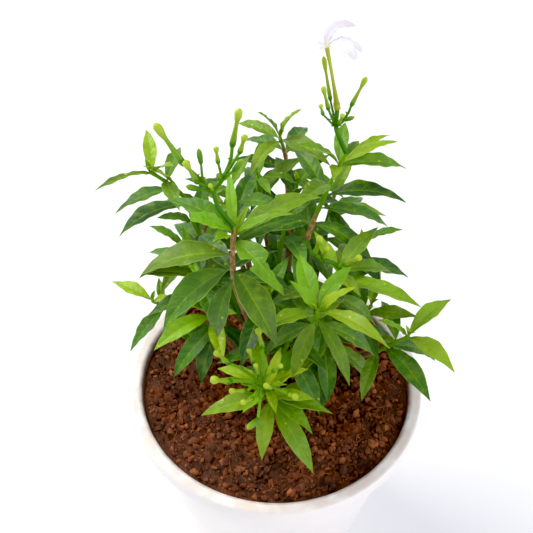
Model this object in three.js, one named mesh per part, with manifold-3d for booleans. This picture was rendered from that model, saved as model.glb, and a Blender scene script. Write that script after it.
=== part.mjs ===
// A flowering shrub, Tabernaemontana corymbosa, in a round white nursery pot.
// Millimetres, +Z up. The origin is the centre of the pot's flat underside.
// The shrub has opposite glossy leaves on green shoots, woody stems that fork low down, clusters of
// slender buds with round heads, and one open flower with five narrow petals.

import * as THREE from "three";
import { mergeVertices } from "three/addons/utils/BufferGeometryUtils.js";
import Module from "manifold-3d";

const wasm = await Module();
wasm.setup();

// Driving dimensions of the pot
const POT_HEIGHT = 165;
const RIM_OUTER = 100;
const RIM_INNER = 92;
const RIM_DEPTH = 12;
const FOOT_OUTER = 68;
const WALL = 3.2;
const FLOOR = 5;
const EDGE_ROUND = 1.6;
const POT_SIDES = 36;
const DRAIN_COUNT = 6;
const DRAIN_RADIUS = 5;
const DRAIN_RING = 42;

// Driving dimensions of the growing mix
const SOIL_LEVEL = 160;
const SOIL_RELIEF = 2.4;
const SOIL_RINGS = 5;
const SOIL_SECTORS = 28;

// Clearance that separate pieces keep where they touch
const SEAT_GAP = 0.3;

// Faces narrower than this are merged where pieces join
const SLIVER = 0.08;

// Driving dimensions of the shrub
const TRUNK_RADIUS = 5.4;
const TRUNK_DEPTH = 30;
const SHOOT_FOOT_RADIUS = 1.7;
const SHOOT_TIP_RADIUS = 1.1;
const BLADE_THICKNESS = 0.7;
const PETIOLE_HALF_WIDTH = 0.5;
const PETIOLE_EXTRA_THICKNESS = 0.2;
const LEAF_HALF_WIDTH_SHARE = 0.135;
const LEAF_WAVE = 0.8;
const LEAF_FOLD_DEG = 17;
const LEAF_SPACE = 0.9;

const DEG = Math.PI / 180;
const point = (p) => new THREE.Vector3(...p);

// A repeatable draw from 0 to 1 for each whole-number key.
function draw(key) {
  const x = Math.sin(key * 12.9898 + 4.1414) * 43758.5453;
  return x - Math.floor(x);
}
const spread = (key, half) => (2 * draw(key) - 1) * half;

// Shoots

// Each leafy shoot has the foot and tip of its green stem. Its leaves are rows of place along the
// stem from 0 to 1, heading and rise of the leaf in degrees, length, and for an unusually broad or
// slender leaf its width as a share of the usual. A shoot without rows carries crossed pairs, each
// turned a quarter from the last, from its first heading.
const SHOOTS = {
  front_left: {
    foot: [-25, -22, 290], tip: [-25, -18.5, 333], leaves: [
      [0.62, 190, -8, 53, 1.25], [0.91, 151, 7, 44], [0.91, 182, 34, 28, 1.2], [0.87, 232, 30, 20],
      [0.89, 96, 22, 40, 0.55], [0.83, 310, -9, 46, 1.15], [0.89, 6, 23, 36, 0.6],
      [0.75, 30, -2, 48, 0.85], [0.85, 31, 24, 60, 0.75], [0.4, 302, -20, 52, 1.3],
      [0.42, 214, -28, 54, 1.25], [0.2, 235, -68, 44, 1.1], [0.3, 120, -12, 46],
      [0.15, 20, -35, 44], [0.8, 67, 24, 24, 0.7],
    ],
  },
  flowering: {
    foot: [16, 26, 270], tip: [38, 41, 335], leaves: [
      [0.87, 15, -14, 46], [0.58, 357, -2, 52], [0.46, 6, -24, 50], [0.88, 24, 8, 40, 0.6],
      [0.86, 44, 8, 48, 0.4], [0.88, 82, 10, 34], [0.84, 62, -2, 32], [0.88, 198, 39, 36],
      [0.86, 259, 25, 28], [0.7, 238, 18, 44], [0.3, 200, 5, 46], [0.3, 330, -15, 44],
      [0.12, 100, 0, 46], [0.6, 120, 10, 40], [0.12, 260, -5, 42],
    ],
  },
  star: {
    foot: [20, -27, 255], tip: [21, -43, 292], leaves: [
      [0.97, 103, 4, 42], [0.97, 65, 0, 36], [0.75, 213, 14, 40, 0.9], [0.35, 178, -50, 46],
      [0.95, 318, 12, 52, 0.72], [0.68, 300, -30, 44, 0.75], [0.55, 240, -45, 38],
      [0.98, 150, 40, 24], [0.98, 15, 35, 26], [0.4, 60, -20, 42], [0.3, 350, -30, 44],
      [0.15, 110, -10, 44],
    ],
  },
  back_left: {
    foot: [-48, 52, 262], tip: [-80, 55, 305], leaves: [
      [0.95, 217, 11, 42, 0.55], [0.65, 199, -14, 42], [0.35, 199, -16, 54],
      [0.6, 196, 52, 34, 0.85],
      [0.58, 11, -60, 34], [0.97, 101, 20, 32], [0.78, 79, 2, 34], [0.3, 60, -10, 44],
      [0.97, 320, 40, 28], [0.8, 290, 10, 36],
    ],
  },
  back: {
    foot: [6, 92, 270], tip: [0, 89, 305], leaves: [
      [0.97, 143, -8, 36], [0.98, 192, 58, 28], [0.98, 350, 62, 28], [0.62, 141, -19, 42],
      [0.93, 314, 8, 46], [0.65, 18, -30, 38], [0.5, 70, -12, 46], [0.25, 230, -25, 42],
      [0.9, 240, 0, 40], [0.12, 190, 0, 42], [0.1, 330, -5, 44],
    ],
  },
  right: {
    foot: [29, 1, 245], tip: [36, -4, 285], leaves: [
      [0.62, 336, 4, 58, 0.9], [0.83, 49, 4, 42], [0.88, 30, -9, 38], [0.88, 74, 0, 40],
      [0.3, 351, -38, 42], [0.5, 200, -10, 40], [0.86, 120, 20, 30], [0.5, 110, -5, 42],
      [0.84, 300, 10, 26], [0.15, 60, -25, 42], [0.1, 20, -15, 44], [0.2, 250, -20, 42],
    ],
  },
  far_right: {
    foot: [61, -11, 212], tip: [81, -16, 236], leaves: [
      [0.97, 42, 6, 42], [0.95, 308, 10, 42], [0.4, 300, 2, 50], [0.75, 141, -45, 36],
      [0.7, 99, -8, 40], [0.5, 10, -35, 44], [0.98, 170, 30, 24], [0.2, 250, -20, 36],
    ],
  },
  low_front: {
    foot: [-3, -40, 200], tip: [-8, -58, 243], leaves: [
      [0.35, 190, -12, 46], [0.2, 262, -16, 40], [0.15, 294, -14, 54, 0.9], [0.45, 336, 10, 42],
      [0.4, 316, -4, 36], [0.86, 153, -4, 34], [0.6, 58, 2, 38], [0.84, 118, 6, 34],
      [0.75, 232, 10, 24], [0.2, 120, -20, 42], [0.7, 180, 22, 26], [0.8, 20, 20, 28],
      [0.86, 75, 30, 26], [0.8, 285, 18, 22], [0.62, 340, 18, 30], [0.06, 30, -20, 40],
      [0.58, 150, 6, 30], [0.84, 200, 48, 20], [0.84, 240, 44, 18], [0.84, 330, 46, 20],
      [0.82, 50, 50, 20], [0.7, 265, 30, 20],
    ],
  },
  low_left: {
    foot: [-34, 7, 205], tip: [-43, -3, 238], leaves: [
      [0.97, 191, 46, 24], [0.85, 220, 2, 46], [0.75, 283, 2, 38], [0.97, 115, 0, 36],
      [0.5, 224, -31, 46], [0.3, 240, -55, 44], [0.45, 345, -15, 40], [0.98, 330, 35, 26],
      [0.9, 30, 18, 32], [0.3, 175, -30, 40], [0.7, 65, -5, 40], [0.3, 20, -15, 44],
    ],
  },
  far_left: {
    foot: [-62, 21, 205], tip: [-81, 16, 228], leaves: [
      [0.97, 148, -4, 36], [0.62, 225, -29, 38], [0.75, 100, 20, 20], [0.4, 60, -20, 40],
      [0.3, 300, -30, 36], [0.98, 330, 30, 24],
    ],
  },
  low_right: {
    foot: [20, 12, 192], tip: [33, -13, 222], leaves: [
      [0.97, 342, -34, 46], [0.68, 270, -45, 44], [0.35, 276, -30, 56], [0.95, 8, -50, 38],
      [0.5, 70, -25, 44], [0.95, 230, -5, 32], [0.98, 130, 25, 24], [0.6, 330, -15, 46],
      [0.3, 180, -10, 44],
    ],
  },
  inner_high: { foot: [-2, 22, 240], tip: [4, 34, 286], pairs: 4, heading: 25, length: 48 },
  inner_front: { foot: [-10, 0, 226], tip: [-6, -12, 268], pairs: 4, heading: 60, length: 46 },
  inner_low: { foot: [4, -10, 205], tip: [8, -26, 244], pairs: 4, heading: 30, length: 46 },
  mid_left: { foot: [-38, 26, 238], tip: [-54, 38, 280], pairs: 4, heading: 20, length: 48 },
  mid_high: { foot: [-22, 38, 258], tip: [-30, 48, 300], pairs: 4, heading: 60, length: 42 },
  mid_back: { foot: [-8, 56, 250], tip: [-14, 66, 292], pairs: 4, heading: 100, length: 44 },
  crown: { foot: [8, 46, 256], tip: [11, 59, 294], pairs: 4, heading: 20, length: 46 },
  mid_right: { foot: [36, 30, 222], tip: [54, 46, 256], pairs: 4, heading: 10, length: 46 },
  rear_left: { foot: [-24, 62, 212], tip: [-36, 84, 248], pairs: 4, heading: 150, length: 48 },
  rear_right: { foot: [26, 62, 220], tip: [38, 84, 262], pairs: 4, heading: 60, length: 48 },
  rear_low: { foot: [0, 52, 190], tip: [2, 80, 214], pairs: 3, heading: 80, length: 50 },
  side_left: { foot: [-46, 34, 212], tip: [-62, 50, 244], pairs: 4, heading: 140, length: 46 },
  left: { foot: [-40, 10, 228], tip: [-54, 18, 262], pairs: 4, heading: 100, length: 42 },
  side_right: { foot: [42, 8, 205], tip: [60, 10, 234], pairs: 4, heading: 70, length: 42 },
};
const SHOOT_NAMES = Object.keys(SHOOTS);

// Woody stems: each leaves another at a share of its length, and runs through a bend to just short
// of the foot of the shoot it carries. Radii are those at its start and end.
const WOOD = [
  { name: "trunk", foot: [-1, 4, SOIL_LEVEL - TRUNK_DEPTH], bend: [-1, 4, 160], top: [-1, 5, 176],
    radii: [5.4, 4.4] },
  { name: "front_left", off: ["trunk", 0.96], bend: [-17, -2, 225], radii: [3.9, 2.2] },
  { name: "flowering", off: ["trunk", 0.96], bend: [6, 12, 230], radii: [3.8, 2.2] },
  { name: "star", off: ["trunk", 0.94], bend: [14, -12, 205], radii: [3.2, 2.0] },
  { name: "back_left", off: ["front_left", 0.25], bend: [-28, 26, 225], radii: [3.0, 2.0] },
  { name: "back", off: ["flowering", 0.26], bend: [10, 48, 220], radii: [3.0, 2.0] },
  { name: "right", off: ["star", 0.2], bend: [24, -2, 205], radii: [2.8, 2.0] },
  { name: "far_right", off: ["trunk", 0.9], bend: [30, 0, 176], radii: [3.0, 1.9] },
  { name: "low_front", off: ["trunk", 0.88], bend: [-3, -22, 172], radii: [3.0, 1.9] },
  { name: "low_left", off: ["trunk", 0.92], bend: [-22, 6, 176], radii: [3.0, 1.9] },
  { name: "far_left", off: ["trunk", 0.86], bend: [-36, 22, 172], radii: [3.0, 1.9] },
  { name: "low_right", off: ["trunk", 0.88], bend: [12, 14, 174], radii: [2.8, 1.9] },
  { name: "inner_high", off: ["flowering", 0.18], bend: [-6, 12, 215], radii: [2.5, 1.9] },
  { name: "inner_front", off: ["trunk", 0.97], bend: [-10, 6, 195], radii: [2.6, 1.9] },
  { name: "inner_low", off: ["trunk", 0.93], bend: [4, 0, 180], radii: [2.6, 1.9] },
  { name: "mid_left", off: ["back_left", 0.15], bend: [-28, 14, 212], radii: [2.5, 1.9] },
  { name: "mid_high", off: ["back_left", 0.12], bend: [-14, 30, 225], radii: [2.5, 1.9] },
  { name: "mid_back", off: ["back", 0.2], bend: [-2, 44, 222], radii: [2.5, 1.9] },
  { name: "crown", off: ["flowering", 0.42], bend: [6, 34, 238], radii: [2.4, 1.9] },
  { name: "mid_right", off: ["flowering", 0.16], bend: [24, 18, 200], radii: [2.6, 1.9] },
  { name: "rear_left", off: ["trunk", 0.9], bend: [-14, 40, 178], radii: [2.8, 1.9] },
  { name: "rear_right", off: ["back", 0.1], bend: [18, 42, 200], radii: [2.6, 1.9] },
  { name: "rear_low", off: ["trunk", 0.86], bend: [0, 28, 166], radii: [2.8, 1.9] },
  { name: "side_left", off: ["front_left", 0.12], bend: [-32, 22, 190], radii: [2.6, 1.9] },
  { name: "left", off: ["front_left", 0.2], bend: [-28, 4, 205], radii: [2.6, 1.9] },
  { name: "side_right", off: ["right", 0.2], bend: [26, 6, 190], radii: [2.6, 1.9] },
];

// Flower clusters, each from the tip of its shoot: the main stalk's points and radii, and the buds
// on stalks of their own. A bud has its stalk's points from the fork to its calyx, the end of its
// head, and the head's radius.
const CYMES = {
  front_left: {
    stalk: [[-33, -14, 341], [-36, -10, 350]],
    branches: [
      { path: [[-36, -10, 350], [-31, -9, 357]], radii: [1.15, 1.0] },
    ],
    buds: [
      { stalk: [[-36, -10, 350], [-44, -8, 358], [-51, -7, 366]], head: [-65, 0, 387], size: 2.3 },
      { stalk: [[-31, -9, 357], [-27, -2, 364], [-26, 2, 371]], head: [-22, 5, 393], size: 2.1 },
      { stalk: [[-31, -9, 357], [-22, -2, 370]], head: [-19, -4, 383], size: 1.8 },
      { stalk: [[-31, -9, 357], [-25, -8, 363]], head: [-20, -7, 370], size: 1.7 },
      { stalk: [[-31, -9, 357], [-33, -7, 367]], head: [-34, -6, 377], size: 1.5 },
      { stalk: [[-37, -10, 351], [-41, -9, 357], [-42, -6, 366]], head: [-43, -4, 374], size: 1.5 },
      { stalk: [[-39, -9.5, 353], [-44, -11, 357]], head: [-50, -10, 371], size: 2.0 },
      { stalk: [[-36, -10, 350], [-43, -12, 353]], head: [-50, -13, 356], size: 1.7 },
      { stalk: [[-36, -10, 350], [-36, -13, 353]], head: [-37, -16, 360], size: 1.3 },
      { stalk: [[-31, -9, 357], [-32, -12, 360]], head: [-33, -14, 366], size: 1.3 },
    ],
  },
  flowering: {
    stalk: [[34, 41, 343], [31, 44, 350], "flower"],
    branches: [],
    buds: [
      { stalk: [[31, 44, 350], [26, 45, 362]], head: [22, 46, 377], size: 1.5 },
      { stalk: [[31, 44, 350], [27, 50, 365]], head: [22, 57, 389], size: 1.4 },
      { stalk: [[31, 44, 350], [37, 48, 356], [39, 49, 362]], head: [46, 51, 380], size: 1.6 },
      { stalk: [[31, 44, 350], [23, 43, 360]], head: [21, 43, 367], size: 1.3 },
      { stalk: [[31, 44, 350], [32, 42, 354]], head: [34, 41, 362], size: 1.4 },
      { stalk: [[31, 44, 350], [36, 46, 354]], head: [41, 45, 357], size: 1.3 },
    ],
  },
  right: {
    stalk: [[31, -7, 292], [25, -9, 297]],
    branches: [],
    buds: [
      { stalk: [[25, -9, 297], [20, -8, 300]], head: [22, -11, 318], size: 2.0 },
      { stalk: [[25.5, -9, 296.5], [25, -10, 299]], head: [26, -14, 313], size: 1.7 },
      { stalk: [[34, -6, 288.5], [37, -7, 291]], head: [46, -12, 303], size: 1.9 },
    ],
  },
  low_front: {
    stalk: [[-10, -62, 250]],
    branches: [],
    buds: [
      { stalk: [[-10, -62, 250], [-9, -54, 258], [-9, -46, 262]], head: [-12, -43, 276], size: 2 },
      { stalk: [[-10, -62, 250], [-20, -56, 254], [-28, -53, 256]], head: [-36, -53, 267], size: 1.9 },
      { stalk: [[-10, -62, 250], [-20, -62, 252], [-27, -64, 254]], head: [-37, -70, 264], size: 2.4 },
      { stalk: [[-10, -62, 250], [-18, -69, 252]], head: [-27, -74, 259], size: 1.7 },
      { stalk: [[-10, -62, 250], [-14, -74, 252]], head: [-20, -81, 258], size: 1.6 },
      { stalk: [[-10, -62, 250], [-10, -72, 249], [-11, -84, 246]], head: [-17, -92, 249], size: 1.9 },
      { stalk: [[-10, -62, 250], [-4, -68, 254]], head: [-7, -74, 265], size: 1.8 },
      { stalk: [[-10, -62, 250], [0, -66, 250], [6, -70, 251]], head: [10, -78, 260], size: 1.9 },
      { stalk: [[-10, -62, 250], [-3, -59, 257]], head: [2, -60, 265], size: 1.5 },
      { stalk: [[-10, -62, 250], [-14, -53, 256]], head: [-17, -49, 265], size: 1.5 },
      { stalk: [[-10, -62, 250], [-11, -60, 254]], head: [-13, -58, 263], size: 1.4 },
    ],
  },
};

// The open flower: its tube rises from the flowering cluster's main stalk, and its petals turn
// round the mouth like a pinwheel, one of them longer and hooked. Each petal has the heading and
// rise of its middle, its length, and the angles it droops and sweeps from foot to tip.
const FLOWER = {
  foot: [31, 47, 361],
  neck: [28, 49, 378],
  mouth: [23, 50, 399],
  tubeRadii: [1.9, 1.35, 1.0, 0.9, 1.0, 1.3],
  petals: [
    [45, 9, 26, 62, -100], [130, -5, 22, 80, -70], [199, 5, 21, 90, -58],
    [323, 0, 21, 96, -30], [4, -10, 22, 80, -56],
  ],
  petalHalfWidth: 4,
};

// Materials

const finish = (colour, roughness) =>
  new THREE.MeshStandardMaterial({ color: new THREE.Color(...colour), roughness, metalness: 0 });
const WHITE_PLASTIC = finish([0.86, 0.86, 0.85], 0.38);
const COIR = finish([0.16, 0.05, 0.02], 0.95);
const BARK = finish([0.2, 0.15, 0.09], 0.85);
const LEAF_GREEN = finish([0.1, 0.3, 0.03], 0.38);
const BUD_GREEN = finish([0.42, 0.55, 0.08], 0.45);
const PETAL_WHITE = finish([0.9, 0.9, 0.88], 0.5);

// Solids

// A closed surface from shared corners and triangles, as a solid. Faces with two equal corners,
// such as those at a lathe's poles, are left out.
function solidOf(geometry) {
  const bare = new THREE.BufferGeometry();
  bare.setAttribute("position", geometry.getAttribute("position"));
  if (geometry.index) bare.setIndex(geometry.index);
  const merged = mergeVertices(bare, 1e-4);
  const corners = [];
  const index = merged.index.array;
  for (let i = 0; i < index.length; i += 3) {
    const [a, b, c] = [index[i], index[i + 1], index[i + 2]];
    if (a !== b && b !== c && c !== a) corners.push(a, b, c);
  }
  const triVerts = new Uint32Array(corners);
  const vertProperties = new Float32Array(merged.attributes.position.array);
  return new wasm.Manifold(new wasm.Mesh({ numProp: 3, vertProperties, triVerts }));
}

// The geometry of a finished solid.
function geometryOf(solid) {
  const mesh = solid.getMesh();
  const geometry = new THREE.BufferGeometry();
  geometry.setAttribute("position", new THREE.BufferAttribute(mesh.vertProperties, 3));
  geometry.setIndex(new THREE.BufferAttribute(mesh.triVerts, 1));
  return geometry;
}

// One solid from several that overlap, with any pocket closed inside it filled and the slivers where
// they meet merged into the faces beside them.
function fuse(solids) {
  const whole = solids.reduce((joined, next) => joined.add(next));
  const shells = whole.asOriginal().simplify(SLIVER).decompose();
  return wasm.Manifold.compose(shells.filter((shell) => shell.volume() > 0));
}

// A geometry from corner points and triangles.
function geometryFrom(points, triangles) {
  const geometry = new THREE.BufferGeometry();
  const flat = points.flatMap((p) => [p.x, p.y, p.z]);
  geometry.setAttribute("position", new THREE.Float32BufferAttribute(flat, 3));
  geometry.setIndex(triangles);
  return geometry;
}

// A round bar along a path: a ring of corners at each point, square to the path, with the radius
// given there. A radius of nothing closes the bar in a point, and any other end is a flat face.
// ends are the ways that the first and last rings face, where those aren't the path's own.
function roundBar(path, radii, sides, ends = []) {
  const points = [];
  const triangles = [];
  const along = path.map((_, i) => {
    const before = path[Math.max(i - 1, 0)];
    const after = path[Math.min(i + 1, path.length - 1)];
    return after.clone().sub(before).normalize();
  });
  along[0] = ends[0] ?? along[0];
  along[path.length - 1] = ends[1] ?? along[path.length - 1];
  const lead = Math.abs(along[0].z) > 0.8 ? new THREE.Vector3(1, 0, 0) : new THREE.Vector3(0, 0, 1);
  const rings = path.map((centre, i) => {
    if (radii[i] === 0) return Array(sides).fill(points.push(centre) - 1);
    const u = lead.clone().cross(along[i]).normalize();
    const v = along[i].clone().cross(u);
    return Array.from({ length: sides }, (_, k) => {
      const turn = (2 * Math.PI * k) / sides;
      const out = u.clone().multiplyScalar(Math.cos(turn)).addScaledVector(v, Math.sin(turn));
      return points.push(centre.clone().addScaledVector(out, radii[i])) - 1;
    });
  });
  const last = rings.length - 1;
  for (let i = 0; i < last; i++) {
    for (let k = 0; k < sides; k++) {
      const next = (k + 1) % sides;
      triangles.push(rings[i][k], rings[i][next], rings[i + 1][next]);
      triangles.push(rings[i][k], rings[i + 1][next], rings[i + 1][k]);
    }
  }
  for (let k = 1; k < sides - 1; k++) {
    if (radii[0] > 0) triangles.push(rings[0][0], rings[0][k + 1], rings[0][k]);
    if (radii[last] > 0) triangles.push(rings[last][0], rings[last][k], rings[last][k + 1]);
  }
  return solidOf(geometryFrom(points, triangles));
}

// Radii that taper evenly along a path.
function taper(first, last, pieces) {
  return Array.from({ length: pieces + 1 }, (_, i) => first + ((last - first) * i) / pieces);
}

// A profile of [radius, height] points turned round the upright axis.
function turned(profile, sides) {
  const geometry = new THREE.LatheGeometry(profile.map(([r, z]) => new THREE.Vector2(r, z)), sides);
  return solidOf(geometry.rotateX(Math.PI / 2));
}

// An upright round peg from one height to another.
function peg(x, y, radius, low, high, sides) {
  const geometry = new THREE.CylinderGeometry(radius, radius, high - low, sides);
  return solidOf(geometry.rotateX(Math.PI / 2).translate(x, y, (low + high) / 2));
}

// Pot: a tapered tub with a rolled rim and a ring of drainage holes in its floor

const innerRadius = (z) => {
  const share = (z - FLOOR) / (POT_HEIGHT - FLOOR);
  return FOOT_OUTER - WALL + (RIM_INNER - FOOT_OUTER + WALL) * share;
};

function makePot() {
  const neck = innerRadius(POT_HEIGHT - RIM_DEPTH) + WALL;
  const tub = turned([
    [0, 0], [FOOT_OUTER - EDGE_ROUND, 0], [FOOT_OUTER, EDGE_ROUND],
    [neck, POT_HEIGHT - RIM_DEPTH], [RIM_OUTER - EDGE_ROUND, POT_HEIGHT - RIM_DEPTH],
    [RIM_OUTER, POT_HEIGHT - RIM_DEPTH + EDGE_ROUND], [RIM_OUTER, POT_HEIGHT - EDGE_ROUND],
    [RIM_OUTER - EDGE_ROUND, POT_HEIGHT], [RIM_INNER + EDGE_ROUND, POT_HEIGHT],
    [RIM_INNER, POT_HEIGHT - EDGE_ROUND], [innerRadius(FLOOR), FLOOR], [0, FLOOR],
  ], POT_SIDES);
  const holes = Array.from({ length: DRAIN_COUNT }, (_, i) => {
    const turn = (2 * Math.PI * i) / DRAIN_COUNT;
    const [x, y] = [DRAIN_RING * Math.cos(turn), DRAIN_RING * Math.sin(turn)];
    return peg(x, y, DRAIN_RADIUS, -FLOOR, 2 * FLOOR, 8);
  });
  return tub.subtract(fuse(holes));
}

// Soil: fills the pot to its level, with crumbs of coir standing out of its top

const soilHeight = (x, y) =>
  SOIL_LEVEL +
  SOIL_RELIEF *
    (0.5 * Math.sin(0.31 * x + 1.3) * Math.cos(0.27 * y) +
      0.3 * Math.sin(0.83 * x + 0.6 * y) +
      0.3 * Math.cos(0.74 * x - 1.07 * y + 2));

function makeSoil() {
  const edge = innerRadius(SOIL_LEVEL) - SEAT_GAP;
  const foot = innerRadius(FLOOR) - SEAT_GAP;
  const points = [new THREE.Vector3(0, 0, soilHeight(0, 0))];
  for (let j = 1; j <= SOIL_RINGS; j++) {
    for (let k = 0; k < SOIL_SECTORS; k++) {
      const turn = (2 * Math.PI * (k + 0.5 * (j % 2))) / SOIL_SECTORS;
      const radius = (edge * j) / SOIL_RINGS;
      const [x, y] = [radius * Math.cos(turn), radius * Math.sin(turn)];
      points.push(new THREE.Vector3(x, y, j < SOIL_RINGS ? soilHeight(x, y) : SOIL_LEVEL - 1));
    }
  }
  const lowest = points.length;
  for (let k = 0; k < SOIL_SECTORS; k++) {
    const turn = (2 * Math.PI * k) / SOIL_SECTORS;
    points.push(new THREE.Vector3(foot * Math.cos(turn), foot * Math.sin(turn), FLOOR + SEAT_GAP));
  }
  const middle = points.push(new THREE.Vector3(0, 0, FLOOR + SEAT_GAP)) - 1;
  const ring = (j, k) => 1 + (j - 1) * SOIL_SECTORS + (k % SOIL_SECTORS);
  const triangles = [];
  for (let k = 0; k < SOIL_SECTORS; k++) {
    triangles.push(0, ring(1, k), ring(1, k + 1));
    for (let j = 1; j < SOIL_RINGS; j++) {
      const shift = j % 2;
      const [a, b] = [ring(j, k), ring(j, k + 1)];
      const [c, d] = [ring(j + 1, k + shift), ring(j + 1, k + shift + 1)];
      if (shift) triangles.push(a, c, b, a, ring(j + 1, k), c);
      else triangles.push(a, c, b, b, c, d);
    }
    const [e, f] = [ring(SOIL_RINGS, k), ring(SOIL_RINGS, k + 1)];
    const [g, h] = [lowest + k, lowest + ((k + 1) % SOIL_SECTORS)];
    triangles.push(e, g, f, f, g, h, middle, h, g);
  }
  const trunk = WOOD[0].foot;
  const hole = peg(trunk[0], trunk[1], TRUNK_RADIUS + 0.8,
    trunk[2] - SEAT_GAP, SOIL_LEVEL + 3 * SOIL_RELIEF, 16);
  return solidOf(geometryFrom(points, triangles)).subtract(hole);
}

// Stems

const TRUNK_SIDES = 8;
const BRANCH_SIDES = 5;
const TWIG_SIDES = 4;
const TWIG_RADIUS = 2.65;
const WOOD_PIECES = 3;
const SHOOT_PIECES = 3;

// The way a shoot leaves its woody stem, as a unit vector.
function footDirection(name) {
  const { bend } = WOOD.find((stem) => stem.name === name);
  return point(SHOOTS[name].foot).sub(point(bend)).normalize();
}

// The middle line of a shoot: it leaves the wood straight and then bends to its tip.
function shootCurve(name) {
  const { foot, tip } = SHOOTS[name];
  const reach = point(tip).distanceTo(point(foot));
  const bend = point(foot).addScaledVector(footDirection(name), 0.4 * reach);
  return new THREE.QuadraticBezierCurve3(point(foot), bend, point(tip));
}

// The way a shoot points at its tip, as a unit vector.
const tipDirection = (name) => shootCurve(name).getTangent(1);

// The middle line of a woody stem, up to the flat end that faces its shoot.
function woodCurve(name) {
  const { off, foot, bend, top } = WOOD.find((stem) => stem.name === name);
  const from = off ? woodCurve(off[0]).getPoint(off[1]) : point(foot);
  const to = top
    ? point(top)
    : point(SHOOTS[name].foot).addScaledVector(footDirection(name), -SEAT_GAP);
  return new THREE.QuadraticBezierCurve3(from, point(bend), to);
}

function makeWood() {
  return fuse(WOOD.map(({ name, off, radii }) => {
    const curve = woodCurve(name);
    const ends = [curve.getTangent(0), curve.getTangent(1)];
    const branchSides = radii[0] < TWIG_RADIUS ? TWIG_SIDES : BRANCH_SIDES;
    return roundBar(curve.getPoints(WOOD_PIECES), taper(...radii, WOOD_PIECES),
      off ? branchSides : TRUNK_SIDES, ends);
  }));
}

function makeShootStem(name) {
  const curve = shootCurve(name);
  const radii = taper(SHOOT_FOOT_RADIUS, SHOOT_TIP_RADIUS, SHOOT_PIECES);
  return roundBar(curve.getPoints(SHOOT_PIECES), radii, 5, [curve.getTangent(0), tipDirection(name)]);
}

// Leaves

const STEPS = 40;

// The steps at which a leaf's outline is set out: more of them on a longer leaf.
function leafStations(length) {
  if (length < 48.5) return [0, 9, 22, 40];
  if (length < 57) return [0, 7, 16, 28, 40];
  return [0, 6, 13, 21, 30, 40];
}

// The leading, side and upper directions of a blade at a share s of its length. Its pitch turns
// evenly down by the droop, its heading turns by the sweep, and the roll turns it about its line.
function bladeAxes(pose, s) {
  const pitch = (pose.rise + pose.droop * (0.5 - s)) * DEG;
  const heading = (pose.heading + pose.sweep * (s - 0.5)) * DEG;
  const roll = pose.roll * DEG;
  const ahead = new THREE.Vector3(Math.cos(heading), Math.sin(heading), 0);
  const left = new THREE.Vector3(-ahead.y, ahead.x, 0);
  const lead = ahead.clone().multiplyScalar(Math.cos(pitch));
  lead.z = Math.sin(pitch);
  const up = ahead.clone().multiplyScalar(-Math.sin(pitch));
  up.z = Math.cos(pitch);
  const side = left.clone().multiplyScalar(Math.cos(roll)).addScaledVector(up, Math.sin(roll));
  const top = up.clone().multiplyScalar(Math.cos(roll)).addScaledVector(left, -Math.sin(roll));
  return { lead, side, top };
}

// The middle line of a blade in even steps from its base.
function bladeLine(pose) {
  const centres = [pose.base.clone()];
  for (let i = 0; i < STEPS; i++) {
    const { lead } = bladeAxes(pose, (i + 0.5) / STEPS);
    centres.push(centres[i].clone().addScaledVector(lead, pose.length / STEPS));
  }
  return centres;
}

// A leaf's outline: a short petiole, then a lance that is widest before its middle and is drawn
// out to its point. An eaten side keeps only a share of its width beyond the bite.
function leafOutline(pose, s, side) {
  const petiole = PETIOLE_HALF_WIDTH * (1 - s) ** 2;
  const x = Math.max(0, (s - 0.06) / 0.94) * pose.kept;
  const blade = Math.sin(Math.PI * x ** 0.86) ** 1.1;
  const bite = pose.bites.find((b) => b.side === side && s >= b.from && s <= b.to);
  return petiole + pose.halfWidth * Math.max(0, blade) * (bite ? bite.left : 1);
}

// A petal's outline: narrow at the flower's mouth, widest past its middle and blunt.
function petalOutline(pose, s) {
  return 0.9 * (1 - s) + pose.halfWidth * Math.sin(Math.PI * s ** 1.25) ** 0.8;
}

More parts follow.
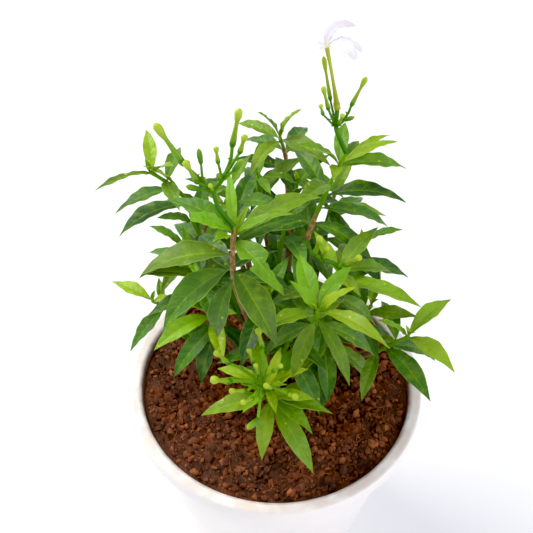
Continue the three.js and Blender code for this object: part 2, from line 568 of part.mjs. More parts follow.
// A thin blade from its outline: two faces that share the same split, folded up along the rib and
// waved along the edges, on a three-sided root. room makes it stouter all round, to test that it is
// clear of others, and first leaves out the steps before it.
function blade(pose, room = 0, first = 0) {
  const centres = bladeLine(pose);
  const points = [];
  const triangles = [];
  const stations = pose.stations.slice(first);
  const fold = pose.fold * DEG;
  const corner = (p) => points.push(p) - 1;
  const rows = stations.map((i) => {
    const s = i / STEPS;
    const { side, top } = bladeAxes(pose, s);
    const half = BLADE_THICKNESS / 2 + (PETIOLE_EXTRA_THICKNESS / 2) * (1 - s) ** 6 + room;
    const widths = [1, -1].map((edge) => pose.outline(pose, s, edge));
    if (i === 0) {
      const [left, right] = [1, -1].map((edge) => corner(
        centres[0].clone().addScaledVector(side, edge * widths[0]).addScaledVector(top, half),
      ));
      return [[left, left], [left, corner(centres[0].clone().addScaledVector(top, -half))],
        [right, right]];
    }
    const pointed = Math.max(...widths) < 0.1;
    const wave = pose.wave * Math.sin(3 * Math.PI * s + pose.phase) * Math.sin(Math.PI * s);
    const edges = [1, -1].map((edge, n) => {
      const width = widths[n] + (pointed ? 0 : room);
      return centres[i].clone()
        .addScaledVector(side, edge * width * Math.cos(fold))
        .addScaledVector(top, width * Math.sin(fold) + edge * wave);
    });
    const across = pointed ? [centres[i]] : [edges[0], centres[i], edges[1]];
    return across.map((p) => [1, -1].map(
      (face) => corner(p.clone().addScaledVector(top, face * half)),
    ));
  });
  const quad = (a, b, c, d) => triangles.push(a, b, c, a, c, d);
  for (let r = 0; r + 1 < rows.length; r++) {
    const here = rows[r];
    const next = rows[r + 1].length === 3 ? rows[r + 1] : Array(3).fill(rows[r + 1][0]);
    for (const n of [0, 1]) {
      quad(here[n + 1][0], next[n + 1][0], next[n][0], here[n][0]);
      triangles.push(here[n + 1][1], next[n][1], next[n + 1][1]);
      triangles.push(here[n + 1][1], here[n][1], next[n][1]);
    }
    quad(here[0][0], next[0][0], next[0][1], here[0][1]);
    quad(here[2][1], next[2][1], next[2][0], here[2][0]);
  }
  const close = ([a, b, c], flip) => {
    const [x, y] = flip ? [1, 0] : [0, 1];
    quad(a[x], a[y], b[y], b[x]);
    quad(b[x], b[y], c[y], c[x]);
  };
  close(rows[0], false);
  if (rows.at(-1).length === 3) close(rows.at(-1), true);
  return solidOf(geometryFrom(points, triangles));
}

// A shoot's leaf rows: its own, or crossed pairs that are longer and lower down the stem.
function leafRows(name) {
  const shoot = SHOOTS[name];
  if (shoot.leaves) return shoot.leaves;
  const rows = [];
  for (let pair = 0; pair < shoot.pairs; pair++) {
    const place = 0.97 - (0.8 * pair) / shoot.pairs;
    const rise = 26 - 18 * pair;
    const length = shoot.length * [0.62, 0.86, 1, 1][pair];
    for (const opposite of [0, 180]) {
      rows.push([place, shoot.heading + 90 * pair + opposite, rise, length]);
    }
  }
  return rows;
}

// Marks on single leaves: eaten edges, and a tip that has broken off.
const EATEN = {
  "front_left 5": {
    bites: [
      { side: 1, from: 0.55, to: 0.85, left: 0.45 },
      { side: -1, from: 0.4, to: 0.5, left: 0.35 },
    ],
  },
  "front_left 2": { kept: 0.72 },
  "front_left 8": { bites: [{ side: 1, from: 0.4, to: 0.5, left: 0.6 }] },
};

// A leaf's pose before it is bent clear of its neighbours.
function leafPose(name, number, row) {
  const [place, heading, rise, length, breadth = 1] = row;
  const key = 100 * SHOOT_NAMES.indexOf(name) + 5 * number;
  const free = SHOOTS[name].leaves ? 0 : 1;
  const marks = EATEN[`${name} ${number}`] ?? {};
  return {
    base: shootCurve(name).getPoint(place),
    heading: heading + spread(key, 16 * free),
    rise: rise + spread(key + 1, 9 * free),
    length,
    droop: 30 + (length - 20) + spread(key + 2, 10),
    sweep: spread(key + 3, 16),
    roll: spread(key + 4, 12),
    phase: 2 * Math.PI * draw(key + 2),
    fold: LEAF_FOLD_DEG,
    wave: LEAF_WAVE,
    halfWidth: LEAF_HALF_WIDTH_SHARE * breadth * length,
    outline: leafOutline,
    stations: leafStations(length),
    kept: marks.kept ?? 1,
    bites: marks.bites ?? [],
  };
}

// The ways a leaf may give way to its neighbours: its heading and rise turned by these angles, and
// its length cut to these shares.
const TURNS = [
  [0, 0], [8, 0], [-8, 0], [0, 10], [0, -10], [10, 10], [-10, 10], [10, -10], [-10, -10],
  [18, 0], [-18, 0], [0, 20], [0, -20], [20, 16], [-20, 16], [20, -16], [-20, -16],
  [32, 0], [-32, 0], [0, 32], [30, 24], [-30, 24],
];
const CUTS = [1, 0.85, 0.7];

function* givingWay(pose) {
  for (const cut of CUTS) {
    for (const [turn, lift] of TURNS) {
      yield {
        ...pose,
        heading: pose.heading + turn,
        rise: pose.rise + lift,
        length: pose.length * cut,
        halfWidth: pose.halfWidth * cut,
      };
    }
  }
}

// Whether two boxes round solids reach each other.
function boxesMeet(a, b) {
  return [0, 1, 2].every((n) => a.min[n] <= b.max[n] && b.min[n] <= a.max[n]);
}

// Whether a solid shares no room with any of the others.
function isClear(solid, others) {
  const box = solid.boundingBox();
  return others.every((o) => !boxesMeet(box, o.box) || solid.intersect(o.solid).isEmpty());
}
const boxed = (node, solid) => ({ node, solid, box: solid.boundingBox() });

// Flower clusters

// A bud's shape: share of its length, and radius as a share of the head's. A grown bud has a stout
// calyx, a tube that narrows, and a club-shaped head with a blunt point. A young one, less than a
// few times as long as it is wide, is egg-shaped.
const GROWN_BUD = [[0.1, 0.8], [0.62, 0.55], [0.82, 0.96], [0.94, 0.84], [1, 0]];
const YOUNG_BUD = [[0.14, 0.72], [0.5, 1], [0.85, 0.7], [1, 0]];
const YOUNG_BUD_SLENDERNESS = 5.6;
const STALK_SHARES = [0.52, 0.44];

function makeBud({ stalk, head, size }) {
  const points = stalk.map(point);
  const [calyx, end] = [points.at(-1), point(head)];
  const young = calyx.distanceTo(end) < YOUNG_BUD_SLENDERNESS * size;
  const profile = young ? YOUNG_BUD : GROWN_BUD;
  const bud = profile.map(([share]) => calyx.clone().lerp(end, share));
  const shares = [...taper(...STALK_SHARES, stalk.length - 1), ...profile.map((p) => p[1])];
  return roundBar([...points, ...bud], shares.map((share) => share * size), young ? 4 : 5);
}

// The way the flower's tube leaves its stalk, as a unit vector.
const flowerDirection = point(FLOWER.neck).sub(point(FLOWER.foot)).normalize();

function makeCyme(name) {
  const { stalk, branches, buds } = CYMES[name];
  const root = point(SHOOTS[name].tip).addScaledVector(tipDirection(name), SEAT_GAP);
  const seat = point(FLOWER.foot).addScaledVector(flowerDirection, -SEAT_GAP);
  const path = [root, ...stalk.map((p) => (p === "flower" ? seat : point(p)))];
  const ends = [tipDirection(name), stalk.at(-1) === "flower" ? flowerDirection : undefined];
  const main = roundBar(path, taper(1.35, 1.2, path.length - 1), 5, ends);
  const forks = branches.map((b) => roundBar(b.path.map(point), b.radii, 5));
  return fuse([main, ...forks, ...buds.map(makeBud)]);
}

// Flower

function makeFlower() {
  const { foot, neck, mouth, tubeRadii } = FLOWER;
  const line = new THREE.QuadraticBezierCurve3(point(foot), point(neck), point(mouth));
  const path = line.getPoints(tubeRadii.length - 1);
  const tube = roundBar(path, tubeRadii, 6, [flowerDirection]);
  const petals = FLOWER.petals.map(([heading, rise, length, droop, sweep], i) => blade({
    base: point(mouth),
    heading,
    rise,
    length,
    droop,
    sweep,
    roll: -8,
    phase: i,
    fold: 4,
    wave: 0.5,
    halfWidth: FLOWER.petalHalfWidth,
    outline: petalOutline,
    stations: [0, 8, 20, 32, 40],
    kept: 1,
    bites: [],
  }));
  return fuse([tube, ...petals]);
}

// Assembly

const shrub = new THREE.Group();

function place(name, solid, material) {
  const mesh = new THREE.Mesh(geometryOf(solid), material);
  mesh.name = name;
  shrub.add(mesh);
}

place("pot", makePot(), WHITE_PLASTIC);
const soil = makeSoil();
place("soil", soil, COIR);
const wood = makeWood();
place("woody_stems", wood, BARK);

const placed = [boxed("soil", soil), boxed("woody_stems", wood)];
for (const name of Object.keys(CYMES)) {
  const cyme = makeCyme(name);
  place(`buds_${name}`, cyme, BUD_GREEN);
  placed.push(boxed("buds", cyme));
}
const flower = makeFlower();
place("flower", flower, PETAL_WHITE);
placed.push(boxed("flower", flower));

const stems = new Map(SHOOT_NAMES.map((name) => [name, makeShootStem(name)]));
for (const [name, stem] of stems) placed.push(boxed(`stem ${name}`, stem));

for (const name of SHOOT_NAMES) {
  const own = [];
  const grown = [];
  leafRows(name).forEach((row, number) => {
    const others = placed.filter((p) => p.node !== name && p.node !== `stem ${name}`);
    for (const pose of givingWay(leafPose(name, number, row))) {
      const roomy = blade(pose, LEAF_SPACE);
      if (!isClear(roomy, others)) continue;
      const outer = blade(pose, LEAF_SPACE, 1);
      if (!isClear(outer, own)) continue;
      own.push(boxed(name, blade(pose, 0, 1)));
      grown.push(blade(pose));
      break;
    }
  });
  grown.forEach((leaf) => placed.push(boxed(name, leaf)));
  place(`shoot_${name}`, fuse([stems.get(name), ...grown]), LEAF_GREEN);
}

export default shrub;
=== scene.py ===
"""A flowering shrub, Tabernaemontana corymbosa, in a round white nursery pot.

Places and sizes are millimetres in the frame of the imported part, and turn into metres as each mesh
is made. The shrub's shoots, stems and flower clusters follow the solids that they stand for.
"""

from math import cos, pi, radians, sin

import bpy
import numpy as np
from mathutils import Matrix, Vector


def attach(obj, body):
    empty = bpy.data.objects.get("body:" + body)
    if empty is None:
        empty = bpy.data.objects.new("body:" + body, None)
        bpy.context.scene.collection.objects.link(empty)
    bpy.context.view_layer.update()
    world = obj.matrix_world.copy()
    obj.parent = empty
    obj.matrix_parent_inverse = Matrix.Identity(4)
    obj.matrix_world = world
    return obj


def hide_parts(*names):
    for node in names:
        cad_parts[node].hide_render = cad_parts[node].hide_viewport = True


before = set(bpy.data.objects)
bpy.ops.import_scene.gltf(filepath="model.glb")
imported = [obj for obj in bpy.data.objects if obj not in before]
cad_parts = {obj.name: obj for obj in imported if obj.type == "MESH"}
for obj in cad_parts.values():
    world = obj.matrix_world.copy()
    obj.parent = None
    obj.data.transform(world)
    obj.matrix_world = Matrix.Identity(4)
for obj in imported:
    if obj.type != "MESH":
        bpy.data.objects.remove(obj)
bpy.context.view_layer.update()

MM = 0.001

# Camera

CAMERA_PLACE = (-7.4, -353.3, 670.1)
CAMERA_PITCH = 47.8
CAMERA_ROLL = 0.79
CAMERA_LENS = 60
CAMERA_NEAR = 0.01


def make_camera():
    """Looks along +Y and down by the pitch, turned a little about its own axis."""
    camera = bpy.data.objects.new("camera", bpy.data.cameras.new("camera"))
    camera.data.lens = CAMERA_LENS
    camera.data.clip_start = CAMERA_NEAR
    place = Matrix.Translation([c * MM for c in CAMERA_PLACE])
    tilt = Matrix.Rotation(radians(90 - CAMERA_PITCH), 4, "X")
    camera.matrix_world = place @ tilt @ Matrix.Rotation(radians(CAMERA_ROLL), 4, "Z")
    bpy.context.scene.collection.objects.link(camera)
    bpy.context.scene.camera = camera


make_camera()

# Driving dimensions of the pot
POT_HEIGHT = 165
RIM_OUTER = 100
RIM_INNER = 92
RIM_DEPTH = 12
FOOT_OUTER = 68
WALL = 3.2
FLOOR = 5
EDGE_ROUND = 1.6
LIP_ROUND = 2.4
NECK_ROUND = 1.2
FLOOR_ROUND = 2.5
STRAIGHT = 0.01
AXIS_HOLE = 0.5
BASE_RING = 40
DRAIN_COUNT = 6
DRAIN_RADIUS = 5
DRAIN_RING = 42
POT_SECTORS = 180

# Driving dimensions of the growing mix
SOIL_LEVEL = 160
SOIL_RELIEF = 2.4
SEAT_GAP = 0.3
TRUNK_HOLE = 6.2
SOIL_SECTORS = 200
SOIL_ROWS = 60
BED_DROP = 1.0
BED_GRAIN = 0.45
BED_TOP = 1.5
RIM_DIP = 2.5
HOLE_RING = 150
SIDE_RINGS = (150, 100, 50)

# Driving dimensions of the shrub
TRUNK_DEPTH = 30
SHOOT_RADII = (1.7, 1.1)
BLADE_STEPS = 40
BLADE_HALF_THICKNESS = 0.35
LEAF_HALF_WIDTH_SHARE = 0.135
LEAF_WAVE = 0.8
LEAF_FOLD = 17
LEAF_DROOP = 30
LEAF_LEAST_LENGTH = 20
HEADING_SPREAD = 16
RISE_SPREAD = 9
DROOP_SPREAD = 10
SWEEP_SPREAD = 16
ROLL_SPREAD = 12

# Side veins of a leaf on each side of its rib, and how they run forward to its edge
SIDE_VEINS = 8
VEIN_LEAN = 0.14
VEIN_BEND = 1.2

# Each leafy shoot has the foot and tip of its green stem. Its leaves are rows of place along the
# stem from 0 to 1, heading and rise of the leaf in degrees, length, and for an unusually broad or
# slender leaf its width as a share of the usual. A shoot without rows carries crossed pairs, each
# turned a quarter from the last, from its first heading.
SHOOTS = {
    "front_left": dict(foot=(-25, -22, 290), tip=(-25, -18.5, 333), leaves=[
        (0.62, 190, -8, 53, 1.25), (0.91, 151, 7, 44), (0.91, 182, 34, 28, 1.2),
        (0.87, 232, 30, 20), (0.89, 96, 22, 40, 0.55), (0.83, 310, -9, 46, 1.15),
        (0.89, 6, 23, 36, 0.6), (0.75, 30, -2, 48, 0.85), (0.85, 31, 24, 60, 0.75),
        (0.4, 302, -20, 52, 1.3), (0.42, 214, -28, 54, 1.25), (0.2, 235, -68, 44, 1.1),
        (0.3, 120, -12, 46), (0.15, 20, -35, 44), (0.8, 67, 24, 24, 0.7)]),
    "flowering": dict(foot=(16, 26, 270), tip=(38, 41, 335), leaves=[
        (0.87, 15, -14, 46), (0.58, 357, -2, 52), (0.46, 6, -24, 50), (0.88, 24, 8, 40, 0.6),
        (0.86, 44, 8, 48, 0.4), (0.88, 82, 10, 34), (0.84, 62, -2, 32), (0.88, 198, 39, 36),
        (0.86, 259, 25, 28), (0.7, 238, 18, 44), (0.3, 200, 5, 46), (0.3, 330, -15, 44),
        (0.12, 100, 0, 46), (0.6, 120, 10, 40), (0.12, 260, -5, 42)]),
    "star": dict(foot=(20, -27, 255), tip=(21, -43, 292), leaves=[
        (0.97, 103, 4, 42), (0.97, 65, 0, 36), (0.75, 213, 14, 40, 0.9), (0.35, 178, -50, 46),
        (0.95, 318, 12, 52, 0.72), (0.68, 300, -30, 44, 0.75), (0.55, 240, -45, 38),
        (0.98, 150, 40, 24), (0.98, 15, 35, 26), (0.4, 60, -20, 42), (0.3, 350, -30, 44),
        (0.15, 110, -10, 44)]),
    "back_left": dict(foot=(-48, 52, 262), tip=(-80, 55, 305), leaves=[
        (0.95, 217, 11, 42, 0.55), (0.65, 199, -14, 42), (0.35, 199, -16, 54),
        (0.6, 196, 52, 34, 0.85), (0.58, 11, -60, 34), (0.97, 101, 20, 32), (0.78, 79, 2, 34),
        (0.3, 60, -10, 44), (0.97, 320, 40, 28), (0.8, 290, 10, 36)]),
    "back": dict(foot=(6, 92, 270), tip=(0, 89, 305), leaves=[
        (0.97, 143, -8, 36), (0.98, 192, 58, 28), (0.98, 350, 62, 28), (0.62, 141, -19, 42),
        (0.93, 314, 8, 46), (0.65, 18, -30, 38), (0.5, 70, -12, 46), (0.25, 230, -25, 42),
        (0.9, 240, 0, 40), (0.12, 190, 0, 42), (0.1, 330, -5, 44)]),
    "right": dict(foot=(29, 1, 245), tip=(36, -4, 285), leaves=[
        (0.62, 336, 4, 58, 0.9), (0.83, 49, 4, 42), (0.88, 30, -9, 38), (0.88, 74, 0, 40),
        (0.3, 351, -38, 42), (0.5, 200, -10, 40), (0.86, 120, 20, 30), (0.5, 110, -5, 42),
        (0.84, 300, 10, 26), (0.15, 60, -25, 42), (0.1, 20, -15, 44), (0.2, 250, -20, 42)]),
    "far_right": dict(foot=(61, -11, 212), tip=(81, -16, 236), leaves=[
        (0.97, 42, 6, 42), (0.95, 308, 10, 42), (0.4, 300, 2, 50), (0.75, 141, -45, 36),
        (0.7, 99, -8, 40), (0.5, 10, -35, 44), (0.98, 170, 30, 24), (0.2, 250, -20, 36)]),
    "low_front": dict(foot=(-3, -40, 200), tip=(-8, -58, 243), leaves=[
        (0.35, 190, -12, 46), (0.2, 262, -16, 40), (0.15, 294, -14, 54, 0.9), (0.45, 336, 10, 42),
        (0.4, 316, -4, 36), (0.86, 153, -4, 34), (0.6, 58, 2, 38), (0.84, 118, 6, 34),
        (0.75, 232, 10, 24), (0.2, 120, -20, 42), (0.7, 180, 22, 26), (0.8, 20, 20, 28),
        (0.86, 75, 30, 26), (0.8, 285, 18, 22), (0.62, 340, 18, 30), (0.06, 30, -20, 40),
        (0.58, 150, 6, 30), (0.84, 200, 48, 20), (0.84, 240, 44, 18), (0.84, 330, 46, 20),
        (0.82, 50, 50, 20), (0.7, 265, 30, 20)]),
    "low_left": dict(foot=(-34, 7, 205), tip=(-43, -3, 238), leaves=[
        (0.97, 191, 46, 24), (0.85, 220, 2, 46), (0.75, 283, 2, 38), (0.97, 115, 0, 36),
        (0.5, 224, -31, 46), (0.3, 240, -55, 44), (0.45, 345, -15, 40), (0.98, 330, 35, 26),
        (0.9, 30, 18, 32), (0.3, 175, -30, 40), (0.7, 65, -5, 40), (0.3, 20, -15, 44)]),
    "far_left": dict(foot=(-62, 21, 205), tip=(-81, 16, 228), leaves=[
        (0.97, 148, -4, 36), (0.62, 225, -29, 38), (0.75, 100, 20, 20), (0.4, 60, -20, 40),
        (0.3, 300, -30, 36), (0.98, 330, 30, 24)]),
    "low_right": dict(foot=(20, 12, 192), tip=(33, -13, 222), leaves=[
        (0.97, 342, -34, 46), (0.68, 270, -45, 44), (0.35, 276, -30, 56), (0.95, 8, -50, 38),
        (0.5, 70, -25, 44), (0.95, 230, -5, 32), (0.98, 130, 25, 24), (0.6, 330, -15, 46),
        (0.3, 180, -10, 44)]),
    "inner_high": dict(foot=(-2, 22, 240), tip=(4, 34, 286), pairs=4, heading=25, length=48),
    "inner_front": dict(foot=(-10, 0, 226), tip=(-6, -12, 268), pairs=4, heading=60, length=46),
    "inner_low": dict(foot=(4, -10, 205), tip=(8, -26, 244), pairs=4, heading=30, length=46),
    "mid_left": dict(foot=(-38, 26, 238), tip=(-54, 38, 280), pairs=4, heading=20, length=48),
    "mid_high": dict(foot=(-22, 38, 258), tip=(-30, 48, 300), pairs=4, heading=60, length=42),
    "mid_back": dict(foot=(-8, 56, 250), tip=(-14, 66, 292), pairs=4, heading=100, length=44),
    "crown": dict(foot=(8, 46, 256), tip=(11, 59, 294), pairs=4, heading=20, length=46),
    "mid_right": dict(foot=(36, 30, 222), tip=(54, 46, 256), pairs=4, heading=10, length=46),
    "rear_left": dict(foot=(-24, 62, 212), tip=(-36, 84, 248), pairs=4, heading=150, length=48),
    "rear_right": dict(foot=(26, 62, 220), tip=(38, 84, 262), pairs=4, heading=60, length=48),
    "rear_low": dict(foot=(0, 52, 190), tip=(2, 80, 214), pairs=3, heading=80, length=50),
    "side_left": dict(foot=(-46, 34, 212), tip=(-62, 50, 244), pairs=4, heading=140, length=46),
    "left": dict(foot=(-40, 10, 228), tip=(-54, 18, 262), pairs=4, heading=100, length=42),
    "side_right": dict(foot=(42, 8, 205), tip=(60, 10, 234), pairs=4, heading=70, length=42),
}
SHOOT_NAMES = list(SHOOTS)

# Woody stems: each leaves another at a share of its length, and runs through a bend to just short
# of the foot of the shoot it carries. Radii are those at its start and end.
WOOD = {
    "trunk": dict(foot=(-1, 4, SOIL_LEVEL - TRUNK_DEPTH), bend=(-1, 4, 160), top=(-1, 5, 176),
                  radii=(5.4, 4.4)),
    "front_left": dict(off=("trunk", 0.96), bend=(-17, -2, 225), radii=(3.9, 2.2)),
    "flowering": dict(off=("trunk", 0.96), bend=(6, 12, 230), radii=(3.8, 2.2)),
    "star": dict(off=("trunk", 0.94), bend=(14, -12, 205), radii=(3.2, 2.0)),
    "back_left": dict(off=("front_left", 0.25), bend=(-28, 26, 225), radii=(3.0, 2.0)),
    "back": dict(off=("flowering", 0.26), bend=(10, 48, 220), radii=(3.0, 2.0)),
    "right": dict(off=("star", 0.2), bend=(24, -2, 205), radii=(2.8, 2.0)),
    "far_right": dict(off=("trunk", 0.9), bend=(30, 0, 176), radii=(3.0, 1.9)),
    "low_front": dict(off=("trunk", 0.88), bend=(-3, -22, 172), radii=(3.0, 1.9)),
    "low_left": dict(off=("trunk", 0.92), bend=(-22, 6, 176), radii=(3.0, 1.9)),
    "far_left": dict(off=("trunk", 0.86), bend=(-36, 22, 172), radii=(3.0, 1.9)),
    "low_right": dict(off=("trunk", 0.88), bend=(12, 14, 174), radii=(2.8, 1.9)),
    "inner_high": dict(off=("flowering", 0.18), bend=(-6, 12, 215), radii=(2.5, 1.9)),
    "inner_front": dict(off=("trunk", 0.97), bend=(-10, 6, 195), radii=(2.6, 1.9)),
    "inner_low": dict(off=("trunk", 0.93), bend=(4, 0, 180), radii=(2.6, 1.9)),
    "mid_left": dict(off=("back_left", 0.15), bend=(-28, 14, 212), radii=(2.5, 1.9)),
    "mid_high": dict(off=("back_left", 0.12), bend=(-14, 30, 225), radii=(2.5, 1.9)),
    "mid_back": dict(off=("back", 0.2), bend=(-2, 44, 222), radii=(2.5, 1.9)),
    "crown": dict(off=("flowering", 0.42), bend=(6, 34, 238), radii=(2.4, 1.9)),
    "mid_right": dict(off=("flowering", 0.16), bend=(24, 18, 200), radii=(2.6, 1.9)),
    "rear_left": dict(off=("trunk", 0.9), bend=(-14, 40, 178), radii=(2.8, 1.9)),
    "rear_right": dict(off=("back", 0.1), bend=(18, 42, 200), radii=(2.6, 1.9)),
    "rear_low": dict(off=("trunk", 0.86), bend=(0, 28, 166), radii=(2.8, 1.9)),
    "side_left": dict(off=("front_left", 0.12), bend=(-32, 22, 190), radii=(2.6, 1.9)),
    "left": dict(off=("front_left", 0.2), bend=(-28, 4, 205), radii=(2.6, 1.9)),
    "side_right": dict(off=("right", 0.2), bend=(26, 6, 190), radii=(2.6, 1.9)),
}

# Flower clusters: the main stalk's points, the stalks of forks, and the buds. A bud has its stalk's
# points from the fork to its calyx, the end of its head, and the head's radius.
CYMES = {
    "front_left": dict(stalk=[(-33, -14, 341), (-36, -10, 350)],
                       forks=[[(-36, -10, 350), (-31, -9, 357)]], buds=[
        ([(-36, -10, 350), (-44, -8, 358), (-51, -7, 366)], (-65, 0, 387), 2.3),
        ([(-31, -9, 357), (-27, -2, 364), (-26, 2, 371)], (-22, 5, 393), 2.1),
        ([(-31, -9, 357), (-22, -2, 370)], (-19, -4, 383), 1.8),
        ([(-31, -9, 357), (-25, -8, 363)], (-20, -7, 370), 1.7),
        ([(-31, -9, 357), (-33, -7, 367)], (-34, -6, 377), 1.5),
        ([(-37, -10, 351), (-41, -9, 357), (-42, -6, 366)], (-43, -4, 374), 1.5),
        ([(-39, -9.5, 353), (-44, -11, 357)], (-50, -10, 371), 2.0),
        ([(-36, -10, 350), (-43, -12, 353)], (-50, -13, 356), 1.7),
        ([(-36, -10, 350), (-36, -13, 353)], (-37, -16, 360), 1.3),
        ([(-31, -9, 357), (-32, -12, 360)], (-33, -14, 366), 1.3)]),
    "flowering": dict(stalk=[(34, 41, 343), (31, 44, 350), "flower"], forks=[], buds=[
        ([(31, 44, 350), (26, 45, 362)], (22, 46, 377), 1.5),
        ([(31, 44, 350), (27, 50, 365)], (22, 57, 389), 1.4),
        ([(31, 44, 350), (37, 48, 356), (39, 49, 362)], (46, 51, 380), 1.6),
        ([(31, 44, 350), (23, 43, 360)], (21, 43, 367), 1.3),
        ([(31, 44, 350), (32, 42, 354)], (34, 41, 362), 1.4),
        ([(31, 44, 350), (36, 46, 354)], (41, 45, 357), 1.3)]),
    "right": dict(stalk=[(31, -7, 292), (25, -9, 297)], forks=[], buds=[
        ([(25, -9, 297), (20, -8, 300)], (22, -11, 318), 2.0),
        ([(25.5, -9, 296.5), (25, -10, 299)], (26, -14, 313), 1.7),
        ([(34, -6, 288.5), (37, -7, 291)], (46, -12, 303), 1.9)]),
    "low_front": dict(stalk=[(-10, -62, 250)], forks=[], buds=[
        ([(-10, -62, 250), (-9, -54, 258), (-9, -46, 262)], (-12, -43, 276), 2),
        ([(-10, -62, 250), (-20, -56, 254), (-28, -53, 256)], (-36, -53, 267), 1.9),
        ([(-10, -62, 250), (-20, -62, 252), (-27, -64, 254)], (-37, -70, 264), 2.4),
        ([(-10, -62, 250), (-18, -69, 252)], (-27, -74, 259), 1.7),
        ([(-10, -62, 250), (-14, -74, 252)], (-20, -81, 258), 1.6),
        ([(-10, -62, 250), (-10, -72, 249), (-11, -84, 246)], (-17, -92, 249), 1.9),
        ([(-10, -62, 250), (-4, -68, 254)], (-7, -74, 265), 1.8),
        ([(-10, -62, 250), (0, -66, 250), (6, -70, 251)], (10, -78, 260), 1.9),
        ([(-10, -62, 250), (-3, -59, 257)], (2, -60, 265), 1.5),
        ([(-10, -62, 250), (-14, -53, 256)], (-17, -49, 265), 1.5),
        ([(-10, -62, 250), (-11, -60, 254)], (-13, -58, 263), 1.4)]),
}

# The open flower: its tube rises from the flowering cluster, and its petals turn like a pinwheel.
# A petal has its heading, rise, length, droop and sweep.
FLOWER_FOOT = (31, 47, 361)
FLOWER_NECK = (28, 49, 378)
FLOWER_MOUTH = (23, 50, 399)
TUBE_RADII = (1.9, 1.35, 1.0, 0.9, 1.0, 1.3)
PETALS = [
    (45, 9, 26, 62, -100), (130, -5, 22, 80, -70), (199, 5, 21, 90, -58),
    (323, 0, 21, 96, -30), (4, -10, 22, 80, -56),
]
PETAL_HALF_WIDTH = 4


# Meshes


class Piece:
    """A mesh in the making: skins laid side by side, each with a finish and three traits. Age goes
    from 0 when young to 1 when old, and tone from 0 to 1 tells one leaf, bud or crumb from the
    next. Part is 1 on a leaf's lower face, a shoot's brown end and the inside of the pot."""

    def __init__(self):
        self.points, self.quads, self.tris, self.uv, self.traits = [], [], [], [], []
        self.quad_finish, self.tri_finish = [], []
        self.count = 0

    def add(self, points, quads, tris, uv, age=0.0, tone=0.0, part=0.0, finish=0):
        """Adds points with their UV, four- and three-sided faces, and the traits. A trait is one
        value for each point or one for all."""
        self.points.append(points)
        self.quads.append(quads + self.count)
        self.tris.append(tris + self.count)
        self.uv.append(uv)
        each = np.zeros(len(points))
        self.traits.append(np.stack([age + each, tone + each, part + each], -1))
        self.quad_finish.append(np.full(len(quads), finish))
        self.tri_finish.append(np.full(len(tris), finish))
        self.count += len(points)

    def make(self, name, finishes, node, crease=50):
        """The finished object, which stands for its CAD node and rides on the shrub's one body."""
        points = np.concatenate(self.points) * MM
        quads = np.concatenate(self.quads).astype(np.int32)
        tris = np.concatenate(self.tris).astype(np.int32)
        corners = np.concatenate([quads.ravel(), tris.ravel()])
        sizes = np.concatenate([np.full(len(quads), 4), np.full(len(tris), 3)]).astype(np.int32)
        mesh = bpy.data.meshes.new(name)
        mesh.vertices.add(len(points))
        mesh.vertices.foreach_set("co", points.astype(np.float32).ravel())
        mesh.loops.add(len(corners))
        mesh.loops.foreach_set("vertex_index", corners)
        mesh.polygons.add(len(sizes))
        mesh.polygons.foreach_set("loop_start", np.cumsum(sizes) - sizes)
        for finish in finishes:
            mesh.materials.append(finish)
        finish_of_face = np.concatenate(self.quad_finish + self.tri_finish).astype(np.int32)
        mesh.polygons.foreach_set("material_index", finish_of_face)
        mesh.update(calc_edges=True)
        layer = mesh.uv_layers.new(name="UVMap")
        layer.uv.foreach_set("vector", np.concatenate(self.uv)[corners].astype(np.float32).ravel())
        values = np.concatenate(self.traits).astype(np.float32)
        for column, trait in enumerate(("age", "tone", "part")):
            attribute = mesh.attributes.new(trait, "FLOAT", "POINT")
            attribute.data.foreach_set("value", np.ascontiguousarray(values[:, column]))
        mesh.shade_smooth()
        mesh.set_sharp_from_angle(angle=radians(crease))
        mesh.validate()
        made = bpy.data.objects.new(name, mesh)
        bpy.context.scene.collection.objects.link(made)
        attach(made, "root")
        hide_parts(node)
        return made


def outward(points, quads, tris):
    """The faces turned to point out: their signed volume, summed over corner triples, is made
    positive."""
    fans = np.concatenate([quads[:, [0, 1, 2]], quads[:, [0, 2, 3]], tris])
    a, b, c = (points[fans[:, n]] for n in range(3))
    if np.einsum("ij,ij->i", a, np.cross(b, c)).sum() < 0:
        return quads[:, ::-1], tris[:, ::-1]
    return quads, tris


def skin(rings, uv):
    """A closed surface over a grid of rings: four-sided faces between neighbouring rings, which
    close on themselves, and a fan over each end round the middle of its ring."""
    rows, around = rings.shape[:2]
    points = np.concatenate([rings.reshape(-1, 3), [rings[0].mean(0), rings[-1].mean(0)]])
    ends = [uv[0].mean(0), uv[-1].mean(0)]
    number = np.arange(rows * around).reshape(rows, around)
    onward = np.roll(number, -1, 1)
    quads = np.stack([number[:-1], onward[:-1], onward[1:], number[1:]], -1).reshape(-1, 4)
    first, last = rows * around, rows * around + 1
    start = np.stack([onward[0], number[0], np.full(around, first)], -1)
    end = np.stack([number[-1], onward[-1], np.full(around, last)], -1)
    quads, tris = outward(points, quads, np.concatenate([start, end]))
    return points, quads, tris, np.concatenate([uv.reshape(-1, 2), ends])


def eased(t, start, start_slope, end, end_slope):
    """The cubic that goes from one value to another, with the given slopes there, as t goes from
    0 to 1."""
    return ((2 * t**3 - 3 * t**2 + 1) * start + (t**3 - 2 * t**2 + t) * start_slope
            + (3 * t**2 - 2 * t**3) * end + (t**3 - t**2) * end_slope)


def bezier(a, b, c, shares):
    """Points of a quadratic curve from a towards b to c."""
    t = np.asarray(shares, float)[:, None]
    return (1 - t) ** 2 * np.array(a) + 2 * t * (1 - t) * np.array(b) + t ** 2 * np.array(c)


